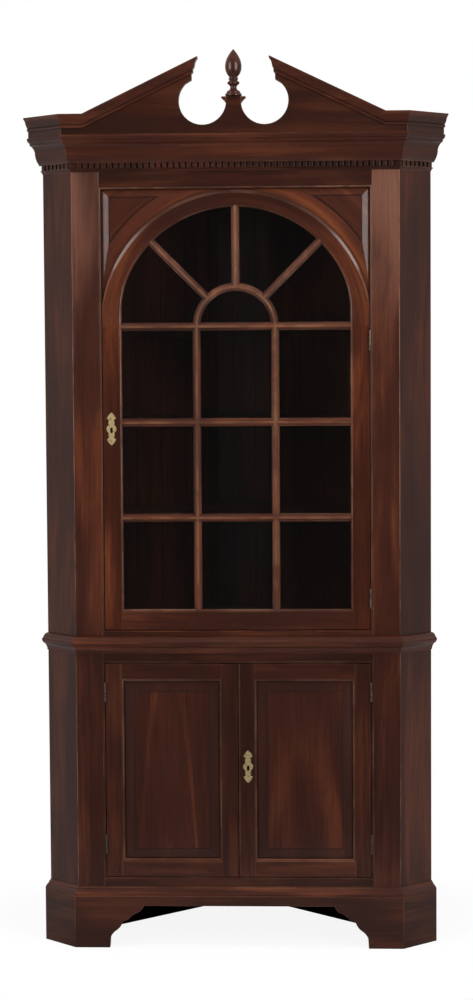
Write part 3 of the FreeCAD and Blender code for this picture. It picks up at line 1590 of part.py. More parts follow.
def check_and_write():
    doc.recompute()
    for thing in doc.Objects:
        for state in ("Invalid", "Error"):
            if state in thing.State:
                raise ValueError(thing.Label + " is " + state)
    for label, thing in parts.items():
        if thing.Shape.isNull() or not thing.Shape.isValid():
            raise ValueError(label + " has no valid shape")
    os.makedirs("parts", exist_ok=True)
    for label, thing in parts.items():
        thing.Shape.exportStep("parts/%s.step" % label)
        bounds = thing.Shape.BoundBox
        print("%-24s %2d solids, x %7.1f..%7.1f, y %7.1f..%7.1f, z %7.1f..%7.1f" % (
            label, len(thing.Shape.Solids), bounds.XMin, bounds.XMax,
            bounds.YMin, bounds.YMax, bounds.ZMin, bounds.ZMax))
    print(len(parts), "nodes")


build()
check_and_write()
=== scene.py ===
# %% [markdown]
# # A corner china cabinet
#
# The cabinet is old polished mahogany: a glazed arch-top door above, two panelled
# doors below, a dentil cornice and a broken pediment with a turned finial. Its
# construction comes in as a fixed frame of separate boards. This file gives each
# board eased edges and a finish, and turns, cuts and files the small pieces.
# All sizes here are in metres, +Z is up, and the front looks along -Y.

import json
import math

import bpy
from mathutils import Matrix, Vector


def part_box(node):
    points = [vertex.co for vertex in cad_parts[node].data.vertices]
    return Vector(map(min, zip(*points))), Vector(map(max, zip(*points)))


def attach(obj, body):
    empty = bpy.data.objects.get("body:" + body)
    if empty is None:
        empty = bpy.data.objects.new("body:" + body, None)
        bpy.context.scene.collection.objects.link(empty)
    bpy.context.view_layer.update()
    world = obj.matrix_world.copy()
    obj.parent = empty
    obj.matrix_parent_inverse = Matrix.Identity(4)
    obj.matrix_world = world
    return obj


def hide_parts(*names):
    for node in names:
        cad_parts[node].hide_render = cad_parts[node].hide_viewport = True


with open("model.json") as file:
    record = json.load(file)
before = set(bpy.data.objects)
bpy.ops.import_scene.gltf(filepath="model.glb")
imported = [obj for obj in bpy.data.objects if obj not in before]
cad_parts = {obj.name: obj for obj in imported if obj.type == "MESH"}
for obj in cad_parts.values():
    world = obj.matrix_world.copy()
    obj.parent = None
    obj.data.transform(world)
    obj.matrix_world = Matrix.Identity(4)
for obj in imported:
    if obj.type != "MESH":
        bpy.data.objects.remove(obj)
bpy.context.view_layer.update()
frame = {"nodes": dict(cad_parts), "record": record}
bodies = frame["record"]["behaviour"]["bodies"]
body_of = {node: body for body, nodes in bodies.items() for node in nodes}
bpy.ops.object.select_all(action="DESELECT")

# %% [markdown]
# ## Camera
#
# A cabinet this tall is photographed from well back with a long lens, so that its
# uprights stay parallel. The camera could be aimed with a constraint, but three
# plain angles say more: it stands a little to the right, looks slightly left and
# slightly down, and leans by a third of a degree.

# %% Camera
CAMERA_PLACE = Vector((0.2709, -6.2215, 1.5456))
TURN_LEFT = 2.590
LOOK_DOWN = 3.7345
LEAN = -0.366
IMAGE_HEIGHT = 1000
FOCAL_PIXELS = 2363.5
SENSOR = 36.0

camera_data = bpy.data.cameras.new("studio_camera")
camera_data.sensor_width = SENSOR
camera_data.lens = SENSOR * FOCAL_PIXELS / IMAGE_HEIGHT
camera = bpy.data.objects.new("studio_camera", camera_data)
bpy.context.scene.collection.objects.link(camera)
aim = (Matrix.Rotation(math.radians(TURN_LEFT), 4, "Z")
       @ Matrix.Rotation(math.radians(90 - LOOK_DOWN), 4, "X")
       @ Matrix.Rotation(math.radians(LEAN), 4, "Z"))
camera.location = CAMERA_PLACE
camera.rotation_euler = aim.to_euler()
bpy.context.scene.camera = camera
bpy.context.scene.view_settings.view_transform = "Standard"
print("lens", round(camera_data.lens, 1), "mm")

# %% [markdown]
# ## Small helpers for the material trees
#
# A material in Blender is a tree of nodes. A few tiny functions keep the trees
# readable: one adds a node and fills its sockets with plain values or with lines
# from other nodes, and the rest wrap the kinds that are used most.

# %% Node helpers
WHITE = (1.0, 1.0, 1.0, 1.0)


def add_node(tree, kind, inputs=None, **settings):
    """Adds a shader node; each input, by name or number, gets a plain value or a line."""
    made = tree.nodes.new("ShaderNode" + kind)
    for name, value in settings.items():
        setattr(made, name, value)
    for name, value in (inputs or {}).items():
        if isinstance(value, bpy.types.NodeSocket):
            tree.links.new(value, made.inputs[name])
        else:
            made.inputs[name].default_value = value
    return made


def empty_tree(owner):
    """Clears the node tree of a material or of the world."""
    owner.use_nodes = True
    owner.node_tree.nodes.clear()
    return owner.node_tree


def show(tree, shader, inputs, kind="Material"):
    """Adds the last shader and joins it to the tree's output."""
    made = add_node(tree, shader, inputs)
    add_node(tree, "Output" + kind, {0: made.outputs[0]})


def mix(tree, factor, first, second, kind="RGBA", blend="MIX"):
    """Mixes two numbers, vectors or colours; the node has a pair of sockets for each kind."""
    socket, result = {"FLOAT": (2, 0), "VECTOR": (4, 1), "RGBA": (6, 2)}[kind]
    made = add_node(tree, "Mix", {0: factor, socket: first, socket + 1: second},
                    data_type=kind, blend_type=blend)
    return made.outputs[result]


def remap(tree, value, low, high, new_low=0.0, new_high=1.0, curve="SMOOTHSTEP"):
    made = add_node(tree, "MapRange", {
        "Value": value, "From Min": low, "From Max": high, "To Min": new_low, "To Max": new_high},
        interpolation_type=curve)
    return made.outputs["Result"]


# %% Arithmetic in nodes
def math_node(tree, operation, *values, clamp=False):
    made = add_node(tree, "Math", dict(enumerate(values)), operation=operation, use_clamp=clamp)
    return made.outputs[0]


def plus(tree, first, second):
    return math_node(tree, "ADD", first, second)


def minus(tree, first, second, clamp=False):
    return math_node(tree, "SUBTRACT", first, second, clamp=clamp)


def times(tree, first, second, clamp=False):
    return math_node(tree, "MULTIPLY", first, second, clamp=clamp)


def over(tree, first, second):
    return math_node(tree, "DIVIDE", first, second)


def absolute(tree, value):
    return math_node(tree, "ABSOLUTE", value)


def reach(tree, across, up):
    """The distance from an axis: the root of the two squares."""
    return math_node(tree, "SQRT", plus(tree, times(tree, across, across), times(tree, up, up)))


# %% Places, noise and relief
def object_place(tree):
    """The point of the surface in the frame's own metres."""
    return add_node(tree, "TexCoord").outputs["Object"]


def split(tree, vector):
    return add_node(tree, "SeparateXYZ", {"Vector": vector}).outputs


def join(tree, x, y, z):
    return add_node(tree, "CombineXYZ", {"X": x, "Y": y, "Z": z}).outputs["Vector"]


def vector_math(tree, operation, *values):
    return add_node(tree, "VectorMath", dict(enumerate(values)), operation=operation).outputs


def noise(tree, vector, scale, detail, roughness, distortion=0.0, along=None):
    """Noise; a small 'along' draws it out along the grain, which is Z."""
    if along is not None:
        vector = vector_math(tree, "MULTIPLY", vector, (1.0, 1.0, along))["Vector"]
    return add_node(tree, "TexNoise", {
        "Vector": vector, "Scale": scale, "Detail": detail, "Roughness": roughness,
        "Distortion": distortion}).outputs["Fac"]


def relief(tree, height, strength, distance):
    return add_node(tree, "Bump", {
        "Height": height, "Strength": strength, "Distance": distance}).outputs["Normal"]


# %% [markdown]
# ## Studio
#
# The picture has a white ground, soft light from both sides and a dim room behind
# the camera. A white environment everywhere would lay a grey veil on polished wood.
# So the world is white to the camera, but in reflections it is pale beside and
# behind the cabinet and dim in front of it, as in a real studio. A look through a
# pane has to meet the same white ground. Blender counts such a ray as a mirrored
# one too, so the rays through glass are sorted out first.

# %% World
WHITE_STRENGTH = 1.0
DIM_FRONT = 0.046
PALE_SIDES = 0.42
AMBIENT = 0.34
# headings along Y, from -1 towards the camera to 1 towards the back
FRONT_HEADING = -0.97
SIDE_HEADING = 0.05
BACK_HEADING = -0.05


def studio_wall(tree, heading):
    """What polish mirrors: dim in front, growing pale towards the sides."""
    return remap(tree, heading, FRONT_HEADING, SIDE_HEADING, DIM_FRONT, PALE_SIDES, "LINEAR")


def sort_rays(tree, heading):
    """The kinds of ray, those through a pane towards the back, and all that look straight on."""
    kinds = add_node(tree, "LightPath").outputs
    backwards = math_node(tree, "GREATER_THAN", heading, BACK_HEADING)
    through_glass = times(tree, kinds["Is Transmission Ray"], backwards)
    return kinds, through_glass, math_node(tree, "MAXIMUM", kinds["Is Camera Ray"], through_glass)


world = bpy.data.worlds.new("studio")
bpy.context.scene.world = world
tree = empty_tree(world)
heading = split(tree, add_node(tree, "TexCoord").outputs["Generated"])["Y"]
kinds, through_glass, straight = sort_rays(tree, heading)
mirrored = math_node(tree, "MAXIMUM", kinds["Is Glossy Ray"], kinds["Is Transmission Ray"])
seen_in_gloss = mix(tree, mirrored, AMBIENT, studio_wall(tree, heading), "FLOAT")
seen = mix(tree, straight, seen_in_gloss, WHITE_STRENGTH, "FLOAT")
show(tree, "Background", {"Color": WHITE, "Strength": seen}, "World")
print("world ambient", AMBIENT)

# %% [markdown]
# The lamps are three large soft boxes. Two tall ones stand left and right and draw
# the long highlights on beads and bevels. One hangs high in front and only lights:
# polished tops don't mirror it.

# %% Lamps
LAMPS = (
    # name, place, aim, width, height, power, mirrored in polish
    ("left_softbox", (-3.3, -3.35, 2.4), (0.0, 0.0, 1.5), 1.6, 3.4, 108.0, True),
    ("right_softbox", (3.0, -3.6, 2.4), (0.0, 0.0, 1.5), 1.6, 3.4, 132.0, True),
    ("overhead_softbox", (0.0, -1.2, 4.6), (0.0, -0.4, 0.0), 3.0, 2.2, 110.0, False),
)
for name, place, target, width, height, power, in_polish in LAMPS:
    lamp_data = bpy.data.lights.new(name, "AREA")
    lamp_data.shape = "RECTANGLE"
    lamp_data.size = width
    lamp_data.size_y = height
    lamp_data.energy = power
    lamp = bpy.data.objects.new(name, lamp_data)
    lamp.location = place
    lamp.rotation_euler = (Vector(target) - Vector(place)).to_track_quat("-Z", "Y").to_euler()
    lamp.visible_glossy = in_polish
    bpy.context.scene.collection.objects.link(lamp)
print(len(LAMPS), "soft boxes")

# %% [markdown]
# The floor is one pale sheet. Near the cabinet it is a real surface that takes the
# shadow; further out it fades into the white ground, so no horizon shows. Polish
# mirrors it as the studio wall, and a little brighter close by.

# %% Floor
FLOOR_SIZE = 14.0
FOOTPRINT = (0.75, 1.0, 1.0)
SHADOW_NEAR = 0.42
SHADOW_FAR = 0.80
PALEST_SHADOW = 0.90
GLOSS_NEAR = 0.9
GLOSS_FAR = 2.0
NEAR_FLOOR_GLOSS = 0.24
PAPER = (0.92, 0.92, 0.92, 1.0)

bpy.ops.mesh.primitive_plane_add(size=FLOOR_SIZE, location=(0, 0, 0))
floor = bpy.context.active_object
floor.name = "studio_floor"
floor_material = bpy.data.materials.new("pale_floor")
tree = empty_tree(floor_material)
place = object_place(tree)
distance = vector_math(tree, "LENGTH", vector_math(tree, "MULTIPLY", place, FOOTPRINT)["Vector"])["Value"]
heading = split(tree, vector_math(tree, "NORMALIZE", place)["Vector"])["Y"]
kinds, through_glass, straight = sort_rays(tree, heading)
paper = add_node(tree, "BsdfPrincipled", {
    "Base Color": PAPER, "Roughness": 0.9, "Specular IOR Level": 0.0})
glow = add_node(tree, "Emission", {"Color": WHITE, "Strength": WHITE_STRENGTH})
fade = times(tree, straight, remap(tree, distance, SHADOW_NEAR, SHADOW_FAR, PALEST_SHADOW, 1.0))
shadowed = add_node(tree, "MixShader", {0: fade, 1: paper.outputs[0], 2: glow.outputs[0]})
near_by = remap(tree, distance, GLOSS_NEAR, GLOSS_FAR, 1.0, 0.0)
gloss = math_node(tree, "MAXIMUM", times(tree, near_by, NEAR_FLOOR_GLOSS), studio_wall(tree, heading))
dim = add_node(tree, "Emission", {"Color": WHITE, "Strength": gloss})
reflected = minus(tree, kinds["Is Glossy Ray"], through_glass, clamp=True)
show(tree, "MixShader", {0: reflected, 1: shadowed.outputs[0], 2: dim.outputs[0]})
floor.data.materials.append(floor_material)
print("floor", FLOOR_SIZE, "m across")

# %% [markdown]
# ## Mahogany
#
# Polished mahogany has three layers of pattern: broad soft bands of light and
# dark, finer streaks along the grain, and short dark pores. A photograph of
# veneer could be wrapped round each board, but a solid pattern in the board's own
# space runs through corners and mitres as real wood does. What several finishes
# share is made once, as a node group. The grain group expects a vector whose Z
# runs along the grain.

# %% Group helpers
VECTOR_SOCKETS = ("Vector", "Middle")


def new_group(name, inputs, outputs):
    """A node group; returns its tree, the sockets it is given and those it fills."""
    tree = bpy.data.node_groups.new(name, "ShaderNodeTree")
    for way, sockets in (("INPUT", inputs), ("OUTPUT", outputs)):
        for socket in sockets:
            kind = "NodeSocketVector" if socket in VECTOR_SOCKETS else "NodeSocketFloat"
            tree.interface.new_socket(name=socket, in_out=way, socket_type=kind)
    return tree, tree.nodes.new("NodeGroupInput").outputs, tree.nodes.new("NodeGroupOutput").inputs


def put_out(tree, result, **values):
    for name, value in values.items():
        tree.links.new(value, result[name])


def add_group(tree, group, **inputs):
    """Places a group; an underscore in an input's name stands for a space."""
    named = {name.replace("_", " "): value for name, value in inputs.items()}
    return add_node(tree, "Group", named, node_tree=group).outputs


# %% Grain group
tree, given, result = new_group("mahogany_grain", ("Vector", "Band Size", "Seed"),
                                ("Tone", "Streak", "Pores", "Height"))
shift = join(tree, given["Seed"], given["Seed"], given["Seed"])
vector = vector_math(tree, "ADD", given["Vector"], shift)["Vector"]
bands = noise(tree, vector, given["Band Size"], 4.0, 0.55, 0.9, along=0.10)
clouds = noise(tree, vector, 7.0, 2.0, 0.5, 0.3, along=0.45)
streaks = noise(tree, vector, 170.0, 4.0, 0.6, along=0.035)
pores = remap(tree, noise(tree, vector, 760.0, 2.0, 0.6, along=0.05), 0.57, 0.70)
tone = plus(tree, times(tree, bands, 0.62), times(tree, clouds, 0.38))
put_out(tree, result, Tone=remap(tree, tone, 0.28, 0.72), Streak=streaks, Pores=pores,
        Height=minus(tree, times(tree, streaks, 0.25), pores))
grain_group = tree

# %% [markdown]
# Where a board is sawn through the heart of the trunk its bands close into tall
# pointed flames. The group draws nested parabolas round a centre: the distance
# across, squared, plus the distance along, sent through a sine and blurred.

# %% Flame group
tree, given, result = new_group(
    "flame_figure", ("Vector", "Half Width", "Ring Length", "Waver", "Thinness"), ("Flame",))
place = split(tree, given["Vector"])
across = over(tree, place["X"], given["Half Width"])
along = over(tree, place["Z"], given["Ring Length"])
shaken = times(tree, noise(tree, given["Vector"], 9.0, 3.0, 0.55, along=0.3), given["Waver"])
phase = plus(tree, plus(tree, times(tree, across, across), along), shaken)
rings = math_node(tree, "SINE", times(tree, phase, 2 * math.pi))
put_out(tree, result, Flame=remap(tree, rings, given["Thinness"], 1.0))
flame_group = tree

# %% [markdown]
# The eased edges are painted lighter: partly polish worn thin by cloths and hands,
# partly painted highlight along each edge. They carry a face attribute for this; the
# group breaks it up with noise, so that the lighter colour comes and goes along the
# edge. It also gives a broad smudge for the gloss.

# %% Rubbed edge group
tree, given, result = new_group("rubbed_and_lit_edges", ("Vector", "Amount"), ("Worn", "Smudge"))
rubbed_and_lit = add_node(tree, "Attribute", attribute_name="rubbed_and_lit").outputs["Fac"]
patches = remap(tree, noise(tree, given["Vector"], 11.0, 4.0, 0.65), 0.40, 0.62, 0.25, 1.0)
worn_and_lit = times(tree, times(tree, rubbed_and_lit, patches), given["Amount"], clamp=True)
put_out(tree, result, Worn=worn_and_lit, Smudge=noise(tree, given["Vector"], 4.0, 5.0, 0.6))
rubbed_and_lit_group = tree

# %% [markdown]
# The arch is bent from long staves, so its grain follows the curve. This group
# unrolls the arch: distance from the centre stays across, the angle becomes the
# length along the grain.

# %% Unrolling group
tree, given, result = new_group("unrolled_arch", ("Vector", "Centre Height", "Radius"), ("Vector",))
place = split(tree, given["Vector"])
up = minus(tree, place["Z"], given["Centre Height"])
along = times(tree, math_node(tree, "ARCTAN2", place["X"], up), given["Radius"])
put_out(tree, result, Vector=join(tree, reach(tree, place["X"], up), place["Y"], along))
unroll_group = tree

# %% [markdown]
# Raised panels are planed down round a flat field. A dark line of painted shade
# follows the little step between them. The planed slopes, which cut across the grain,
# get a tone of their own: partly the stain taking differently, partly painted light.
# The group measures the distance inside the field: level edges, upright edges, and
# for a spandrel also the curved edge round the arch. The panel's back is flat, so
# both stop there.

# %% Raised field group
tree, given, result = new_group(
    "raised_field", ("Vector", "Middle", "Half Width", "Half Height", "Arch Height", "Arch Radius",
                     "Line", "Back"), ("Inside", "Line", "Slope"))
place = split(tree, given["Vector"])
middle = split(tree, given["Middle"])
to_side = minus(tree, given["Half Width"], absolute(tree, minus(tree, place["X"], middle["X"])))
to_level = minus(tree, given["Half Height"], absolute(tree, minus(tree, place["Z"], middle["Z"])))
up = minus(tree, place["Z"], given["Arch Height"])
to_arch = minus(tree, reach(tree, place["X"], up), given["Arch Radius"])
depth = math_node(tree, "MINIMUM", math_node(tree, "MINIMUM", to_side, to_level), to_arch)
on_front = math_node(tree, "LESS_THAN", place["Y"], given["Back"])
# painted shade line along the step round the field
line = times(tree, remap(tree, absolute(tree, depth), given["Line"], 0.0), on_front)
slope = times(tree, math_node(tree, "LESS_THAN", depth, 0.0), on_front)
put_out(tree, result, Inside=minus(tree, 1.0, slope), Line=line, Slope=slope)
field_group = tree
print(len(bpy.data.node_groups), "node groups")

# %% [markdown]
# Each board's grain runs its own way: up, across, along the canted sides, wrapped
# round the front corners, along every bar of the glazing, or round the arch. The
# board's own space is turned or unrolled until Z runs along the grain.

# %% Which way the grain runs
CORNER_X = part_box("base_front")[1].x
HALF_TURN = math.sqrt(0.5)
BAR_PITCH = 0.2435
BAR_HALF_WIDTH = 0.0101
spring_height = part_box("upper_door_stiles")[1].z
arch_low, arch_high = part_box("upper_door_arch")
arch_radius = arch_high.z - spring_height
grain_radius = 0.94 * (arch_high.x - arch_low.x) / 2
print("arch springs at", round(spring_height, 4))


def lattice_grain(tree, vector, across):
    """Grain along each glazing bar: across on the level ones, upright on the others."""
    height = split(tree, vector)["Z"]
    steps = over(tree, minus(tree, height, spring_height), BAR_PITCH)
    off = times(tree, absolute(tree, minus(tree, steps, math_node(tree, "ROUND", steps))), BAR_PITCH)
    low_enough = math_node(tree, "LESS_THAN", height, spring_height + BAR_HALF_WIDTH)
    on_level_bar = times(tree, math_node(tree, "LESS_THAN", off, BAR_HALF_WIDTH), low_enough)
    return mix(tree, on_level_bar, vector, across, "VECTOR")


def along_grain(tree, vector, grain):
    """Turns the board's own space so that Z runs along its grain."""
    if grain == "up":
        return vector
    if grain == "round_arch":
        return add_group(tree, unroll_group, Vector=vector, Centre_Height=spring_height,
                         Radius=grain_radius)["Vector"]
    across = add_node(tree, "Mapping", {
        "Vector": vector, "Rotation": (0.0, math.radians(90), 0.0)}).outputs["Vector"]
    if grain == "across":
        return across
    if grain == "lattice":
        return lattice_grain(tree, vector, across)
    place = split(tree, vector)
    aside = absolute(tree, place["X"])
    width = times(tree, minus(tree, aside, place["Y"]), HALF_TURN)
    canted = join(tree, place["Z"], width, times(tree, plus(tree, aside, place["Y"]), HALF_TURN))
    if grain == "canted":
        return canted
    return mix(tree, math_node(tree, "GREATER_THAN", aside, CORNER_X), across, canted, "VECTOR")


# %% [markdown]
# The colour is built up in layers: three browns by tone, darker streaks
# and pores, and painted shade in the nooks. Then come what only some boards have: a
# flame, a raised field with a painted shade line and a painted slope tone, joints
# between back boards, and tops painted lighter, as painted light from above.

# %% Colours and layers of the wood
WOOD_DARK = (0.0172, 0.0040, 0.0020)
WOOD_MIDDLE = (0.0436, 0.0098, 0.0039)
WOOD_LIGHT = (0.1160, 0.0285, 0.0086)
# dark colour of pores and joints, also used for painted shade
PORE_AND_SHADE_COLOUR = (0.0060, 0.0025, 0.0020, 1.0)
# lighter colour of eased edges: wear and painted highlight
WORN_AND_LIT_COLOUR = (0.1900, 0.0900, 0.0520)
# lighter colour of the glazing bar crests: wear and painted highlight
TAN_COLOUR = (0.2500, 0.1150, 0.0540)
# paler colour mixed in towards the tops, as painted light from above
TOP_LIGHT_COLOUR = (0.3000, 0.1650, 0.1200, 1.0)
PORE_SHARE = 0.6
LINE_SHARE = 0.9
FLAME_ON_SLOPE = 0.35
SEAM_WIDTH = 0.03


def shaded(colour, amount):
    return tuple(part * amount for part in colour) + (1.0,)


def grained_colour(tree, tone, wood, depth, liveliness, streaks):
    spread = 0.5 * liveliness
    ramp = add_node(tree, "ValToRGB", {
        "Fac": remap(tree, tone, 0.0, 1.0, 0.5 - spread, 0.5 + spread)})
    browns = ramp.color_ramp.elements
    browns[0].color = shaded(WOOD_DARK, depth)
    browns[1].color = shaded(WOOD_LIGHT, depth)
    browns.new(0.5).color = shaded(WOOD_MIDDLE, depth)
    streaked = mix(tree, remap(tree, wood["Streak"], 0.35, 0.75, 0.0, streaks), ramp.outputs["Color"],
                   shaded(WOOD_DARK, depth))
    return mix(tree, times(tree, wood["Pores"], PORE_SHARE), streaked, PORE_AND_SHADE_COLOUR)


def flamed(tree, vector, tone, flame, raised):
    """Lays the flame over the tone, faint on the planed slopes round the field."""
    centre_x, centre_z = flame["centre"]
    centred = add_node(tree, "Mapping", {
        "Vector": vector, "Location": (-centre_x, 0.0, -centre_z)}).outputs["Vector"]
    figure = add_group(tree, flame_group, Vector=centred, **flame["figure"])
    lit = times(tree, figure["Flame"], flame["share"])
    lit = times(tree, lit, remap(tree, raised["Inside"], 0.0, 1.0, FLAME_ON_SLOPE, 1.0))
    return plus(tree, times(tree, tone, 1.0 - flame["share"]), lit)


def pale_at_feet(tree, vector, tone, amount):
    """The arch grows paler from its top down to its two feet."""
    from_top = over(tree, absolute(tree, split(tree, vector)["Z"]), 0.5 * math.pi * grain_radius)
    return plus(tree, tone, remap(tree, from_top, 0.15, 0.85, -amount, amount))


# The slope tone is partly the stain and partly painted light; the line is painted shade.
def with_field(tree, colour, raised, tint):
    slope = mix(tree, 1.0, colour, tint + (1.0,), blend="MULTIPLY")
    colour = mix(tree, raised["Slope"], colour, slope)
    return mix(tree, times(tree, raised["Line"], LINE_SHARE), colour, PORE_AND_SHADE_COLOUR)


def with_seams(tree, place, colour, board_width):
    board = math_node(tree, "FRACT", over(tree, split(tree, place)["X"], board_width))
    seam = remap(tree, absolute(tree, minus(tree, board, 0.5)), SEAM_WIDTH, 0.0)
    return mix(tree, seam, colour, PORE_AND_SHADE_COLOUR)


# %% [markdown]
# One function then mixes a mahogany for a board. The lacquer is a thin clear coat
# over a satin wood, and a slight haze in it softens what it mirrors.

# %% Wood material
def mahogany(name, grain="up", seed=0.0, depth=1.0, bands=15.0, liveliness=0.55, flame=None,
             pale_feet=0.0, seams=None, field=None, lit_top=None, streaks=0.6, nook_shade=0.55,
             nook_size=0.008, sheen=0.36, polish=1.0, haze=0.15, wear_and_light=1.0, worn_and_lit=WORN_AND_LIT_COLOUR):
    material = bpy.data.materials.new(name)
    tree = empty_tree(material)
    place = object_place(tree)
    vector = along_grain(tree, place, grain)
    wood = add_group(tree, grain_group, Vector=vector, Band_Size=bands, Seed=seed)
    tone = wood["Tone"]
    if field:
        raised = add_group(tree, field_group, Vector=place, **field["sizes"])
    if flame:
        tone = flamed(tree, vector, tone, flame, raised)
    if pale_feet:
        tone = pale_at_feet(tree, vector, tone, pale_feet)
    colour = grained_colour(tree, tone, wood, depth, liveliness, streaks)
    # painted shade: darker wherever ambient occlusion finds a nook
    nook = add_node(tree, "AmbientOcclusion", {"Distance": nook_size}, samples=4)
    colour = mix(tree, remap(tree, nook.outputs["AO"], 0.45, 0.85, nook_shade, 0.0), colour, PORE_AND_SHADE_COLOUR)
    if field:
        colour = with_field(tree, colour, raised, field["tint"])
    if seams:
        colour = with_seams(tree, place, colour, seams)
    # painted light: the board grows paler towards its top, as where more light falls
    if lit_top:
        from_height, to_height, share = lit_top
        pale = remap(tree, split(tree, place)["Z"], from_height, to_height, 0.0, share)
        colour = mix(tree, times(tree, pale, tone), colour, TOP_LIGHT_COLOUR)
    # eased edges painted lighter: partly wear, partly painted highlight
    edges = add_group(tree, rubbed_and_lit_group, Vector=place, Amount=0.5 * wear_and_light)
    colour = mix(tree, edges["Worn"], colour, worn_and_lit + (1.0,))
    rough = plus(tree, remap(tree, edges["Smudge"], 0.3, 0.7, sheen - 0.03, sheen + 0.05),
                 times(tree, wood["Pores"], 0.12))
    show(tree, "BsdfPrincipled", {
        "Base Color": colour, "Roughness": rough, "Normal": relief(tree, wood["Height"], 0.12, 0.0004),
        "Specular IOR Level": 0.16 * polish, "Coat Weight": 0.50 * polish, "Coat Roughness": haze})
    return material


# %% [markdown]
# The fields are measured on the panels themselves, from the points that lie in
# their front faces. The two door panels come from different boards, so their
# flames differ: narrow and sharp on the left, broad and soft on the right.

# %% Raised fields and flames
FRONT_SKIN = 0.0001
BACK_SKIN = 0.0008


def middle_of(node):
    low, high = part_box(node)
    return (low.x + high.x) / 2, (low.z + high.z) / 2


def raised_field(node, tint, arched=False, line=0.0026):
    """Measures the flat field of a raised panel on its own mesh."""
    front, back = (corner.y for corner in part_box(node))
    corners = [vertex.co for vertex in frame["nodes"][node].data.vertices
               if vertex.co.y < front + FRONT_SKIN]
    across, up = [corner.x for corner in corners], [corner.z for corner in corners]
    low_x, high_x, low_z, high_z = min(across), max(across), min(up), max(up)
    height, radius = 0.0, 0.0
    if arched:
        height = spring_height
        radius = min(math.hypot(corner.x, corner.z - height) for corner in corners)
        low_z = 2 * height - high_z
    sizes = {"Middle": ((low_x + high_x) / 2, 0.0, (low_z + high_z) / 2),
             "Half_Width": (high_x - low_x) / 2, "Half_Height": (high_z - low_z) / 2,
             "Arch_Height": height, "Arch_Radius": radius, "Line": line, "Back": back - BACK_SKIN}
    return {"tint": tint, "sizes": sizes}


LEFT_FLAME = {"centre": (middle_of("left_door_panel")[0] - 0.009, 0.170), "share": 0.30,
              "figure": {"Half_Width": 0.075, "Ring_Length": 0.556, "Waver": 0.34, "Thinness": 0.55}}
RIGHT_FLAME = {"centre": (middle_of("right_door_panel")[0] - 0.005, 0.590), "share": 0.30,
               "figure": {"Half_Width": 0.118, "Ring_Length": 0.560, "Waver": 0.55, "Thinness": -0.9}}
# slope tones: lighter on the spandrels as painted highlight, darker and cooler on the door panels as
# painted reflection
SPANDREL_FIELD = raised_field("spandrel_panels", (1.45, 1.55, 1.5), arched=True, line=0.0034)
LEFT_FIELD = raised_field("left_door_panel", (0.84, 0.88, 1.0))
RIGHT_FIELD = raised_field("right_door_panel", (0.84, 0.88, 1.0))

# %% Woods of this cabinet
WOODS = {
    # the case uprights are painted paler towards their tops, as painted light from above
    "upper_case_upright": dict(seed=1.3, bands=17.0, depth=1.10, wear_and_light=1.6, lit_top=(1.45, 1.95, 0.26)),
    "lower_case_upright": dict(seed=1.9, bands=17.0, depth=0.85),
    "case_front_level": dict(grain="across", seed=2.1, depth=0.68),
    "sill_wood": dict(grain="across", seed=2.7, depth=1.05),
    "base_board": dict(grain="across", seed=6.2, depth=0.75),
    "base_end": dict(grain="canted", seed=6.9, depth=0.72),
    "moulding_level": dict(grain="across", seed=3.4, bands=22.0, depth=1.15, nook_shade=0.9, nook_size=0.018,
                           streaks=0.35, liveliness=0.42, wear_and_light=0.9),
    "dentil_wood": dict(grain="across", seed=3.2, bands=22.0, depth=0.66, nook_shade=0.3, wear_and_light=0.3),
    "moulding_wrapped": dict(grain="wrapped", seed=3.6, bands=22.0, depth=1.15, nook_shade=0.8, wear_and_light=1.3),
    "moulding_canted": dict(grain="canted", seed=3.9, bands=22.0, depth=0.9, nook_shade=0.8, wear_and_light=1.3),
    "side_wood": dict(seed=4.6, bands=12.0, depth=0.85, wear_and_light=1.6),
    "pediment_wood": dict(grain="across", seed=5.7, bands=9.0, depth=0.60, streaks=0.35),
    "turned_wood": dict(seed=7.7, bands=16.0, sheen=0.30, depth=0.92, streaks=0.3, polish=1.35, haze=0.24),
    "upper_door_upright": dict(seed=8.1, bands=19.0, depth=1.2, liveliness=0.7, polish=0.55),
    "upper_door_level": dict(grain="across", seed=8.8, bands=19.0, depth=0.95),
    "arch_wood": dict(grain="round_arch", seed=9.4, bands=17.0, pale_feet=0.25, liveliness=0.7, wear_and_light=0.5),
    # the glazing bars are painted paler towards their tops, as painted light from above
    "bar_wood": dict(grain="lattice", seed=10.2, bands=26.0, depth=1.30, worn_and_lit=TAN_COLOUR, polish=1.7,
                     lit_top=(1.50, 1.72, 0.16)),
    "spandrel_wood": dict(grain="round_arch", seed=11.5, bands=12.0, depth=1.2, wear_and_light=0.2,
                          field=SPANDREL_FIELD),
    "lower_door_upright": dict(seed=12.9, bands=19.0, depth=0.72, nook_shade=0.3, wear_and_light=1.4),
    "lower_door_level": dict(grain="across", seed=12.1, bands=16.0, depth=0.85, nook_shade=0.3, wear_and_light=1.4),
    "left_panel_wood": dict(seed=13.1, bands=9.0, flame=LEFT_FLAME, field=LEFT_FIELD, wear_and_light=0.2),
    "right_panel_wood": dict(seed=14.2, bands=8.0, depth=0.92, flame=RIGHT_FLAME, field=RIGHT_FIELD,
                             wear_and_light=0.2),
    "inside_upright": dict(seed=15.6, bands=10.0, depth=0.95, seams=0.062, sheen=0.45, wear_and_light=0.0),
    # painted shade: the rail behind the base is nearly black and without polish, for the shade under the
    # cabinet
    "shaded_rail_behind": dict(grain="across", seed=17.3, depth=0.12, sheen=0.8, polish=0.0, wear_and_light=0.0),
    "inside_level": dict(grain="across", seed=16.4, bands=12.0, depth=1.2, sheen=0.45, wear_and_light=0.6),
}
woods = {name: mahogany(name, **settings) for name, settings in WOODS.items()}
print(len(woods), "woods")

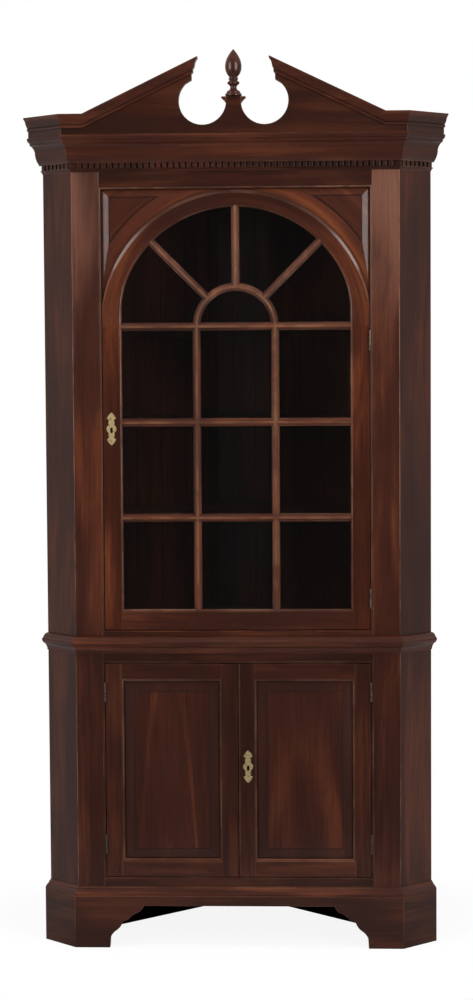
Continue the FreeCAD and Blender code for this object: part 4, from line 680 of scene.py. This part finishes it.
# %% [markdown]
# ## Brass and iron
#
# The escutcheons and hinges are old satin brass that has gone brown in the low
# places. Round each keyhole the plate is painted black, as painted shade of the dark
# hole. The same material, darker, serves the locks and bolts.

# %% Brass material
KEYHOLE_REACH = 0.0028
KEYHOLE_DROP = 0.0075
# colour of the painted shade round each keyhole
KEYHOLE_SHADE = (0.01, 0.008, 0.006, 1.0)


def painted_keyhole_shade(tree, place, middle):
    """Painted shade of the keyhole: a mask by the distance from a short upright line."""
    place = split(tree, place)
    aside = minus(tree, place["X"], middle[0])
    height = minus(tree, place["Z"], middle[1])
    on_line = math_node(tree, "MINIMUM", math_node(tree, "MAXIMUM", height, -KEYHOLE_DROP), 0.0)
    away = reach(tree, aside, minus(tree, height, on_line))
    return remap(tree, away, KEYHOLE_REACH + 0.0008, KEYHOLE_REACH - 0.0004)


def old_metal(name, bright, dull, roughness, tarnish, keyhole=None):
    material = bpy.data.materials.new(name)
    tree = empty_tree(material)
    place = object_place(tree)
    blotches = noise(tree, place, 110.0, 5.0, 0.65)
    scratches = noise(tree, place, 900.0, 3.0, 0.6, along=0.15)
    worn_and_lit = add_group(tree, rubbed_and_lit_group, Vector=place, Amount=1.0)["Worn"]
    dirty = remap(tree, blotches, 0.62 - 0.3 * tarnish, 0.75 - 0.15 * tarnish)
    # eased brass edges stay bright: partly wear, partly painted highlight
    dirty = minus(tree, dirty, worn_and_lit, clamp=True)
    colour = mix(tree, dirty, bright + (1.0,), dull + (1.0,))
    if keyhole:
        colour = mix(tree, painted_keyhole_shade(tree, place, keyhole), colour, KEYHOLE_SHADE)
    rough = plus(tree, times(tree, dirty, 0.22),
                 remap(tree, scratches, 0.3, 0.7, roughness - 0.06, roughness + 0.06))
    show(tree, "BsdfPrincipled", {
        "Base Color": colour, "Metallic": 1.0, "Roughness": rough,
        "Normal": relief(tree, scratches, 0.15, 0.0002)})
    return material


# %% Metals of this cabinet
PLATE_BRASS = ((0.92, 0.71, 0.37), (0.34, 0.22, 0.10), 0.44, 0.42)
metals = {
    "upper_plate": old_metal("upper_plate", *PLATE_BRASS, middle_of("upper_door_escutcheon")),
    "lower_plate": old_metal("lower_plate", *PLATE_BRASS, middle_of("right_door_escutcheon")),
    "pin_brass": old_metal("pin_brass", *PLATE_BRASS),
    "hinge_brass": old_metal("hinge_brass", (0.155, 0.112, 0.080), (0.075, 0.050, 0.036), 0.42, 0.6),
    "lock_iron": old_metal("lock_iron", (0.12, 0.11, 0.10), (0.05, 0.045, 0.04), 0.50, 0.6),
}
print(len(metals), "metals")

# %% [markdown]
# ## Glass
#
# Old drawn glass is clear and slightly wavy. The panes keep a plain transmission,
# and a very low bump bends the reflections a little.

# %% Glass material
def old_glass():
    material = bpy.data.materials.new("old_glass")
    tree = empty_tree(material)
    place = object_place(tree)
    waves = noise(tree, place, 9.0, 2.0, 0.5, along=0.4)
    dust = noise(tree, place, 26.0, 4.0, 0.6)
    show(tree, "BsdfPrincipled", {
        "Base Color": (0.93, 0.95, 0.94, 1.0), "Roughness": remap(tree, dust, 0.4, 0.8, 0.0, 0.03),
        "Metallic": 0.0, "Transmission Weight": 1.0, "IOR": 1.45,
        "Normal": relief(tree, waves, 0.06, 0.002)})
    return material


finishes = {**woods, **metals, "old_glass": old_glass()}
print(len(finishes), "finishes")

# %% [markdown]
# ## Eased edges
#
# A maker never leaves a sharp arris: every board gets a stroke or two of fine
# paper. Here a copy of each board is merged, its triangles are joined back into
# flat faces, and a narrow bevel is applied. The bevel puts its own faces in a
# second material slot, and they become the face attribute that marks edges painted
# lighter, for wear and painted highlight.

# %% Copy and ease a board
MERGE_DISTANCE = 1e-5
FLAT_ANGLE = math.radians(0.4)
EDGE_ANGLE = math.radians(28)
SOFT_ANGLE = 40


def work_on(piece):
    bpy.ops.object.select_all(action="DESELECT")
    piece.select_set(True)
    bpy.context.view_layer.objects.active = piece


def apply_modifier(piece, kind, **settings):
    work_on(piece)
    modifier = piece.modifiers.new("finish", kind)
    for name, value in settings.items():
        setattr(modifier, name, value)
    bpy.ops.object.modifier_apply(modifier=modifier.name)


def cleaned_copy(node):
    """A copy of a board, its loose triangles merged and joined into flat faces."""
    piece = bpy.data.objects.new(node + "_eased", frame["nodes"][node].data.copy())
    bpy.context.scene.collection.objects.link(piece)
    work_on(piece)
    piece.data.materials.clear()
    if piece.data.has_custom_normals:
        bpy.ops.mesh.customdata_custom_splitnormals_clear()
    bpy.ops.object.mode_set(mode="EDIT")
    bpy.ops.mesh.select_all(action="SELECT")
    bpy.ops.mesh.remove_doubles(threshold=MERGE_DISTANCE)
    bpy.ops.mesh.dissolve_limited(angle_limit=FLAT_ANGLE)
    bpy.ops.object.mode_set(mode="OBJECT")
    return piece


def eased_copy(node, width, shape, wear_and_light, shade_angle=SOFT_ANGLE):
    """Copies a board, shapes it further if it needs that, eases its edges and marks where they are painted
    lighter, for wear and painted highlight.
    """
    piece = cleaned_copy(node)
    for slot in range(2):
        # slot 0 is for faces, slot 1 for eased edges
        piece.data.materials.append(None)
    if shape:
        shape(piece)
    apply_modifier(piece, "BEVEL", width=width, segments=2, limit_method="ANGLE", angle_limit=EDGE_ANGLE,
                   material=1)
    rubbed_and_lit = piece.data.attributes.new("rubbed_and_lit", "FLOAT", "FACE")
    for face in piece.data.polygons:
        rubbed_and_lit.data[face.index].value = wear_and_light(face)
        face.material_index = 0
    bpy.ops.object.shade_smooth_by_angle(angle=math.radians(shade_angle))
    apply_modifier(piece, "WEIGHTED_NORMAL", keep_sharp=True)
    return piece


def place_in_frame(piece, node, finish):
    """The piece stands for a node of the frame: it takes its finish, rides on the same body, and the node
    is hidden.
    """
    piece.data.materials.clear()
    piece.data.materials.append(finishes[finish])
    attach(piece, body_of[node])
    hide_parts(node)


# %% [markdown]
# Eased edges are painted lighter fully, and the slopes of a moulding in part; this
# is partly wear and partly painted highlight. Level edges get less of it than upright
# ones. On the glazing bars the lighter colour lies along the rounded crest instead:
# least on the level bars, and most on the right upright, where it runs down the
# slopes too as painted light.

# %% Where the polish is rubbed
MUNTIN_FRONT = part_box("upper_door_muntins")[0].y
CREST_DEPTH = 0.0045
# how far forward a face looks, from 0 for sideways to 1 for straight ahead
NOSE_FROM = 0.70
NOSE_SPAN = 0.28
BAR_SLOPE_FROM = 0.3
SLOPE_FROM = 0.25
SLOPE_TO = 0.95
# shares of lighter colour, for wear and painted highlight, on the crest and on the slopes
LEVEL_RUB_AND_LIGHT = (0.30, 0.0)
LEFT_RUB_AND_LIGHT = (0.60, 0.0)
RIGHT_RUB_AND_LIGHT = (1.60, 0.50)
FAN_RUB_AND_LIGHT = (0.95, 0.0)
MOULDED = {
    "upper_door_stiles": 0.8, "upper_door_arch": 0.8, "upper_door_bottom_rail": 0.8,
    "left_door_stiles": 0.4, "left_door_rails": 0.4, "right_door_stiles": 0.4, "right_door_rails": 0.4,
    "upper_opening_bead": 0.12, "lower_opening_bead": 0.35,
}
LEVEL_WEAR_AND_LIGHT = {
    "upper_opening_bead": 0.15, "upper_head_rail": 0.3, "cornice_front": 0.4, "cornice_sides": 0.6,
    "dentil_front": 0.3,
}


def bar_rub_and_light(place):
    """The shares of lighter colour, for wear and painted highlight, for the glazing bar at this place."""
    steps = (place.z - spring_height) / BAR_PITCH
    if steps < 0.5 and abs(steps - round(steps)) * BAR_PITCH < BAR_HALF_WIDTH:
        return LEVEL_RUB_AND_LIGHT
    if place.z > spring_height:
        return FAN_RUB_AND_LIGHT
    return RIGHT_RUB_AND_LIGHT if place.x > 0.0 else LEFT_RUB_AND_LIGHT


def bar_wear_and_light(face):
    on_crest, on_slope = bar_rub_and_light(face.center)
    forward = -face.normal.y
    near_crest = face.center.y < MUNTIN_FRONT + CREST_DEPTH
    nose = max(0.0, min(1.0, (forward - NOSE_FROM) / NOSE_SPAN)) if near_crest else 0.0
    return max(nose * on_crest, on_slope if forward > BAR_SLOPE_FROM else 0.0)


def wear_and_light_of(node):
    """How much each face of a node is painted lighter, for wear and painted highlight, as a function of
    the face.
    """
    if node == "upper_door_muntins":
        return bar_wear_and_light

    def edge_wear_and_light(face):
        sloped = SLOPE_FROM < -face.normal.y < SLOPE_TO
        share = max(float(face.material_index), MOULDED.get(node, 0.0) * sloped)
        return share * LEVEL_WEAR_AND_LIGHT.get(node, 1.0) if abs(face.normal.z) > abs(face.normal.x) else share

    return edge_wear_and_light


# %% [markdown]
# Two pieces of the glazed door get more than a stroke of paper. The chamfer round
# the outside of the arch swells above its spring into a wide rounded rim, and the
# crests of the glazing bars are rounded over. Their edges are found by place.

# %% Rim of the arch and crests of the bars
FRONT_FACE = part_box("upper_door_stiles")[0].y
NEAR = 0.00012
CHAMFER = 0.003
RIM_WIDTH = 0.0080
RIM_START = 0.066
RIM_END = 0.190
RIM_STAGES = 12
RIM_ROUND = 0.0020
CREST_ROUND = 0.0030


def from_spring(point):
    return math.hypot(point.x, point.z - spring_height)


def on_circle(ends, depth, radius):
    return all(abs(end.y - FRONT_FACE - depth) < NEAR and abs(from_spring(end) - radius) < NEAR
               for end in ends)


def on_rim(ends):
    """True on the two edges of the widened chamfer."""
    if min(end.z for end in ends) < spring_height + RIM_START:
        return False
    on_front = all(abs(end.y - FRONT_FACE) < NEAR
                   and RIM_WIDTH + NEAR > arch_radius - from_spring(end) > CHAMFER - NEAR for end in ends)
    return on_front or on_circle(ends, CHAMFER, arch_radius)


def front_edge_above(height, radius):
    return lambda ends: on_circle(ends, 0.0, radius) and min(end.z for end in ends) > height


def on_bar_crest(ends):
    return all(abs(end.y - MUNTIN_FRONT) < NEAR for end in ends)


def pick_edges(piece, wanted):
    """Selects the edges whose two ends pass the test 'wanted', and stays in edit mode."""
    mesh = piece.data
    bpy.ops.object.mode_set(mode="EDIT")
    bpy.ops.mesh.select_mode(type="EDGE")
    bpy.ops.mesh.select_all(action="DESELECT")
    bpy.ops.object.mode_set(mode="OBJECT")
    for edge in mesh.edges:
        edge.select = wanted([mesh.vertices[i].co for i in edge.vertices])
    print(piece.name, sum(edge.select for edge in mesh.edges), "edges picked")
    bpy.ops.object.mode_set(mode="EDIT")


def round_over(piece, wanted, width):
    pick_edges(piece, wanted)
    bpy.ops.mesh.bevel(offset=width, segments=4, affect="EDGES", clamp_overlap=True, material=1)
    bpy.ops.object.mode_set(mode="OBJECT")


def shape_arch(piece):
    """Slides the chamfer's front edge inwards in steps, then rounds the rim."""
    radius = arch_radius - CHAMFER
    for step in range(RIM_STAGES):
        height = spring_height + RIM_START + (RIM_END - RIM_START) * step / RIM_STAGES
        pick_edges(piece, front_edge_above(height, radius))
        wider = CHAMFER + (RIM_WIDTH - CHAMFER) * (step + 1) / RIM_STAGES
        narrower = (arch_radius - wider) / radius
        bpy.ops.transform.resize(value=(narrower, 1.0, narrower),
                                 center_override=(0.0, FRONT_FACE, spring_height))
        bpy.ops.object.mode_set(mode="OBJECT")
        radius = arch_radius - wider
    round_over(piece, on_rim, RIM_ROUND)


def shape_bars(piece):
    round_over(piece, on_bar_crest, CREST_ROUND)


# %% Ease every board that shows
EASED = {
    # node: (wood, width of the eased edge)
    "base_front": ("base_board", 0.0008),
    "base_sides": ("base_end", 0.0008),
    "base_mouldings": ("moulding_wrapped", 0.0007),
    "lower_stiles": ("lower_case_upright", 0.0012),
    "lower_rails": ("case_front_level", 0.0003),
    "lower_opening_bead": ("case_front_level", 0.0003),
    "lower_sides": ("side_wood", 0.0012),
    "waist_mouldings": ("moulding_wrapped", 0.0008),
    "upper_stiles": ("upper_case_upright", 0.0012),
    "upper_sill_rail": ("sill_wood", 0.0003),
    "upper_head_rail": ("case_front_level", 0.0003),
    "upper_opening_bead": ("upper_case_upright", 0.0003),
    "spandrel_panels": ("spandrel_wood", 0.0005),
    "door_stop": ("upper_case_upright", 0.0008),
    "upper_sides": ("side_wood", 0.0012),
    "upper_shelves": ("inside_level", 0.0010),
    "lower_shelf": ("inside_level", 0.0010),
    "dentil_front": ("dentil_wood", 0.0005),
    "dentil_sides": ("moulding_canted", 0.0005),
    "cornice_front": ("moulding_level", 0.0007),
    "cornice_sides": ("moulding_canted", 0.0007),
    "pediment_board": ("pediment_wood", 0.0008),
    "pediment_sides": ("moulding_canted", 0.0008),
    "crown_rakes": ("moulding_level", 0.0007),
    "crown_sides": ("moulding_canted", 0.0007),
    "plinth_caps": ("moulding_level", 0.0005),
    "upper_door_stiles": ("upper_door_upright", 0.0005),
    "upper_door_arch": ("arch_wood", 0.0010),
    "upper_door_bottom_rail": ("upper_door_level", 0.0005),
    "upper_door_muntins": ("bar_wood", 0.0012),
    "left_door_stiles": ("lower_door_upright", 0.0005),
    "left_door_rails": ("lower_door_level", 0.0005),
    "left_door_panel": ("left_panel_wood", 0.0005),
    "right_door_stiles": ("lower_door_upright", 0.0005),
    "right_door_rails": ("lower_door_level", 0.0005),
    "right_door_panel": ("right_panel_wood", 0.0005),
}
SHAPES = {"upper_door_arch": shape_arch, "upper_door_muntins": shape_bars}
SHALLOW = {"spandrel_panels": 8, "left_door_panel": 9, "right_door_panel": 9}
for node, (finish, width) in EASED.items():
    piece = eased_copy(node, width, SHAPES.get(node), wear_and_light_of(node), SHALLOW.get(node, SOFT_ANGLE))
    place_in_frame(piece, node, finish)
print(len(EASED), "boards eased")

# %% [markdown]
# ## Boards behind the glass
#
# The backs, the cleats and the top and floor boards keep the frame's own shapes,
# because nobody sees an eased edge on them. They only take their finish, and so do
# the panes, the locks and the bolts.

# %% Boards and fittings that keep their shape
KEPT = {
    # painted shade: nearly black, for the shade under the cabinet
    "base_rear_rails": "shaded_rail_behind",
    "lower_back_panels": "inside_upright",
    "upper_back_panels": "inside_upright",
    "lower_floor_board": "inside_level",
    "lower_top_board": "inside_level",
    "upper_floor_board": "inside_level",
    "upper_top_board": "inside_level",
    "shelf_cleats": "inside_level",
    "pediment_glue_blocks": "inside_level",
    "upper_door_panes": "old_glass",
    "upper_door_lock": "lock_iron",
    "right_door_lock": "lock_iron",
    "upper_lock_bolt": "hinge_brass",
    "right_lock_bolt": "hinge_brass",
    "left_door_bolt": "hinge_brass",
    "left_door_bolt_guide": "hinge_brass",
}
for node, finish in KEPT.items():
    board = frame["nodes"][node]
    board.data.materials.clear()
    board.data.materials.append(finishes[finish])
print(len(KEPT), "boards and fittings keep their shape")

# %% [markdown]
# ## Escutcheons and hinges
#
# Cast brass plates have soft edges too, so they are eased like the boards.

# %% Ease the brass
BRASS_EASED = {
    "upper_door_escutcheon": ("upper_plate", 0.0006),
    "right_door_escutcheon": ("lower_plate", 0.0006),
    "hinge_frame_leaves": ("hinge_brass", 0.0003),
    "upper_door_hinge_leaves": ("hinge_brass", 0.0003),
    "left_door_hinge_leaves": ("hinge_brass", 0.0003),
    "right_door_hinge_leaves": ("hinge_brass", 0.0003),
}
for node, (finish, width) in BRASS_EASED.items():
    place_in_frame(eased_copy(node, width, None, wear_and_light_of(node)), node, finish)
print(len(BRASS_EASED), "plates and hinge leaves eased")

# %% [markdown]
# ## Finial
#
# The finial is turned on a lathe: an urn on a spool foot, with a pointed bud. It
# could be spun from a drawn outline. Growing it ring by ring, as a turner works
# along the blank, keeps each swell a plain step: extrude the top ring, move it up
# and scale it. The rings follow a smooth line through a few chosen girths.

# %% Turn the finial
GIRTH_SHARES = (
    # height share, radius share
    (0.000, 1.00), (0.030, 1.02), (0.060, 0.97), (0.080, 0.80), (0.092, 0.84), (0.108, 0.82),
    (0.130, 0.56), (0.160, 0.40), (0.205, 0.36), (0.238, 0.46), (0.258, 0.68), (0.285, 0.76),
    (0.312, 0.70), (0.335, 0.47), (0.352, 0.46), (0.362, 0.60), (0.382, 0.61), (0.395, 0.48),
    (0.412, 0.47), (0.450, 0.68), (0.500, 0.85), (0.560, 0.96), (0.620, 1.00), (0.690, 0.97),
    (0.760, 0.88), (0.830, 0.71), (0.890, 0.50), (0.940, 0.30), (0.975, 0.13), (1.000, 0.02))
FINIAL_SIDES = 40
POLISHED_AWAY = 0.98


def turn_on_lathe(name, middle, bottom, radius, height, girths, sides):
    bpy.ops.object.select_all(action="DESELECT")
    bpy.ops.mesh.primitive_circle_add(vertices=sides, radius=radius * girths[0][1], fill_type="NGON",
                                      location=(*middle, bottom))
    piece = bpy.context.active_object
    piece.name = name
    bpy.ops.object.mode_set(mode="EDIT")
    bpy.ops.mesh.select_all(action="SELECT")
    for (low_share, low_girth), (high_share, high_girth) in zip(girths, girths[1:]):
        bpy.ops.mesh.extrude_region_move(TRANSFORM_OT_translate={
            "value": (0.0, 0.0, height * (high_share - low_share))})
        grow = high_girth / low_girth
        bpy.ops.transform.resize(value=(grow, grow, 1.0),
                                 center_override=(*middle, bottom + height * high_share))
    bpy.ops.mesh.select_all(action="SELECT")
    bpy.ops.mesh.normals_make_consistent(inside=False)
    bpy.ops.object.mode_set(mode="OBJECT")
    bpy.ops.object.transform_apply(location=True, rotation=True, scale=True)
    return piece


low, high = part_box("finial")
finial = turn_on_lathe("turned_finial", ((low.x + high.x) / 2, (low.y + high.y) / 2), low.z,
                       (high.x - low.x) / 2 * POLISHED_AWAY, high.z - low.z, GIRTH_SHARES, FINIAL_SIDES)
apply_modifier(finial, "SUBSURF", levels=1, render_levels=1)
bpy.ops.object.shade_smooth_by_angle(angle=math.radians(50))
place_in_frame(finial, "finial", "turned_wood")
print("finial", round(high.z - low.z, 4), "high,", len(finial.data.polygons), "faces")

# %% [markdown]
# ## Pins and screws
#
# Each escutcheon is held by two little round-headed pins, and each hinge leaf by
# three countersunk screws with a filed slot. Both are turned like the finial. The
# screw is made once and set round the hinges, every slot at its own angle.

# %% Turn a pin and a screw
HEAD_GIRTHS = ((0.00, 1.00), (0.45, 0.97), (0.75, 0.78), (0.93, 0.45), (1.00, 0.05))
PIN_RADIUS = 0.0019
PIN_HEIGHT = 0.0010
PIN_SINK = 0.0002
SCREW_RADIUS = 0.0027
SCREW_HEIGHT = 0.0009
SCREW_RISE = 0.0003
SLOT_SIZE = (0.0007, 0.0070, 0.0005)

pin = turn_on_lathe("pin", (0.0, 0.0), -PIN_SINK, PIN_RADIUS, PIN_HEIGHT, HEAD_GIRTHS, 16)
screw = turn_on_lathe("screw", (0.0, 0.0), SCREW_RISE - SCREW_HEIGHT, SCREW_RADIUS, SCREW_HEIGHT,
                      HEAD_GIRTHS, 20)
bpy.ops.mesh.primitive_cube_add(size=1.0, location=(0.0, 0.0, SCREW_RISE))
slot_cutter = bpy.context.active_object
slot_cutter.scale = SLOT_SIZE
bpy.ops.object.transform_apply(location=True, rotation=True, scale=True)
apply_modifier(screw, "BOOLEAN", operation="DIFFERENCE", object=slot_cutter)
bpy.data.objects.remove(slot_cutter)
print("screw head", len(screw.data.polygons), "faces")

# %% Pin the escutcheons and screw the hinges
PIN_SPREAD = 0.0335
HINGE_LENGTH = 0.050
SCREW_PLACES = (0.0080, 0.0250, 0.0420)
DOOR_GAP = 0.0020
LEAF_MIDDLE = 0.0101
# each screw's slot is turned by its height, in degrees, and the frame's by more
TURN_PER_METRE = 7919.0
FRAME_TURN = 70.0


def set_round(master, places, name, finish, body, angle):
    """Sets a copy of a pin or screw at each place, joins the copies and lets them ride."""
    copies = []
    for place, axis, turn in places:
        work_on(master)
        bpy.ops.object.duplicate()
        copy = bpy.context.active_object
        facing = Vector(axis).to_track_quat("Z", "Y").to_matrix().to_4x4()
        copy.matrix_world = (Matrix.Translation(place) @ facing
                             @ Matrix.Rotation(math.radians(turn), 4, "Z"))
        copies.append(copy)
    work_on(copies[0])
    for copy in copies:
        copy.select_set(True)
    bpy.ops.object.join()
    joined = bpy.context.active_object
    joined.name = name
    bpy.ops.object.transform_apply(location=True, rotation=True, scale=True)
    joined.data.materials.append(finishes[finish])
    bpy.ops.object.shade_smooth_by_angle(angle=math.radians(angle))
    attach(joined, body)


for node in ("upper_door_escutcheon", "right_door_escutcheon"):
    middle_x, middle_z = middle_of(node)
    plate_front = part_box(node)[0].y
    places = [((middle_x, plate_front, middle_z + side * PIN_SPREAD), (0.0, -1.0, 0.0), 0.0)
              for side in (-1, 1)]
    set_round(pin, places, node.replace("escutcheon", "pins"), "pin_brass", body_of[node], 50)

screw_y = FRONT_FACE + LEAF_MIDDLE
frame_places = []
for door in ("upper_door", "left_door", "right_door"):
    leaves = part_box(door + "_hinge_leaves")
    side = math.copysign(1.0, leaves[0].x)
    door_edge = max(abs(corner.x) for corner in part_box(door + "_stiles")) * side
    door_places = []
    for low in (leaves[0].z, leaves[1].z - HINGE_LENGTH):
        for rise in SCREW_PLACES:
            height = low + rise
            turn = (height * TURN_PER_METRE) % 180.0
            door_places.append(((door_edge, screw_y, height), (side, 0.0, 0.0), turn))
            frame_places.append(((door_edge + side * DOOR_GAP, screw_y, height), (-side, 0.0, 0.0),
                                 turn + FRAME_TURN))
    set_round(screw, door_places, door + "_screws", "hinge_brass", door, 35)
set_round(screw, frame_places, "frame_screws", "hinge_brass", body_of["hinge_frame_leaves"], 35)
for master in (pin, screw):
    bpy.data.objects.remove(master)
print(len(frame_places) * 2, "screws set")
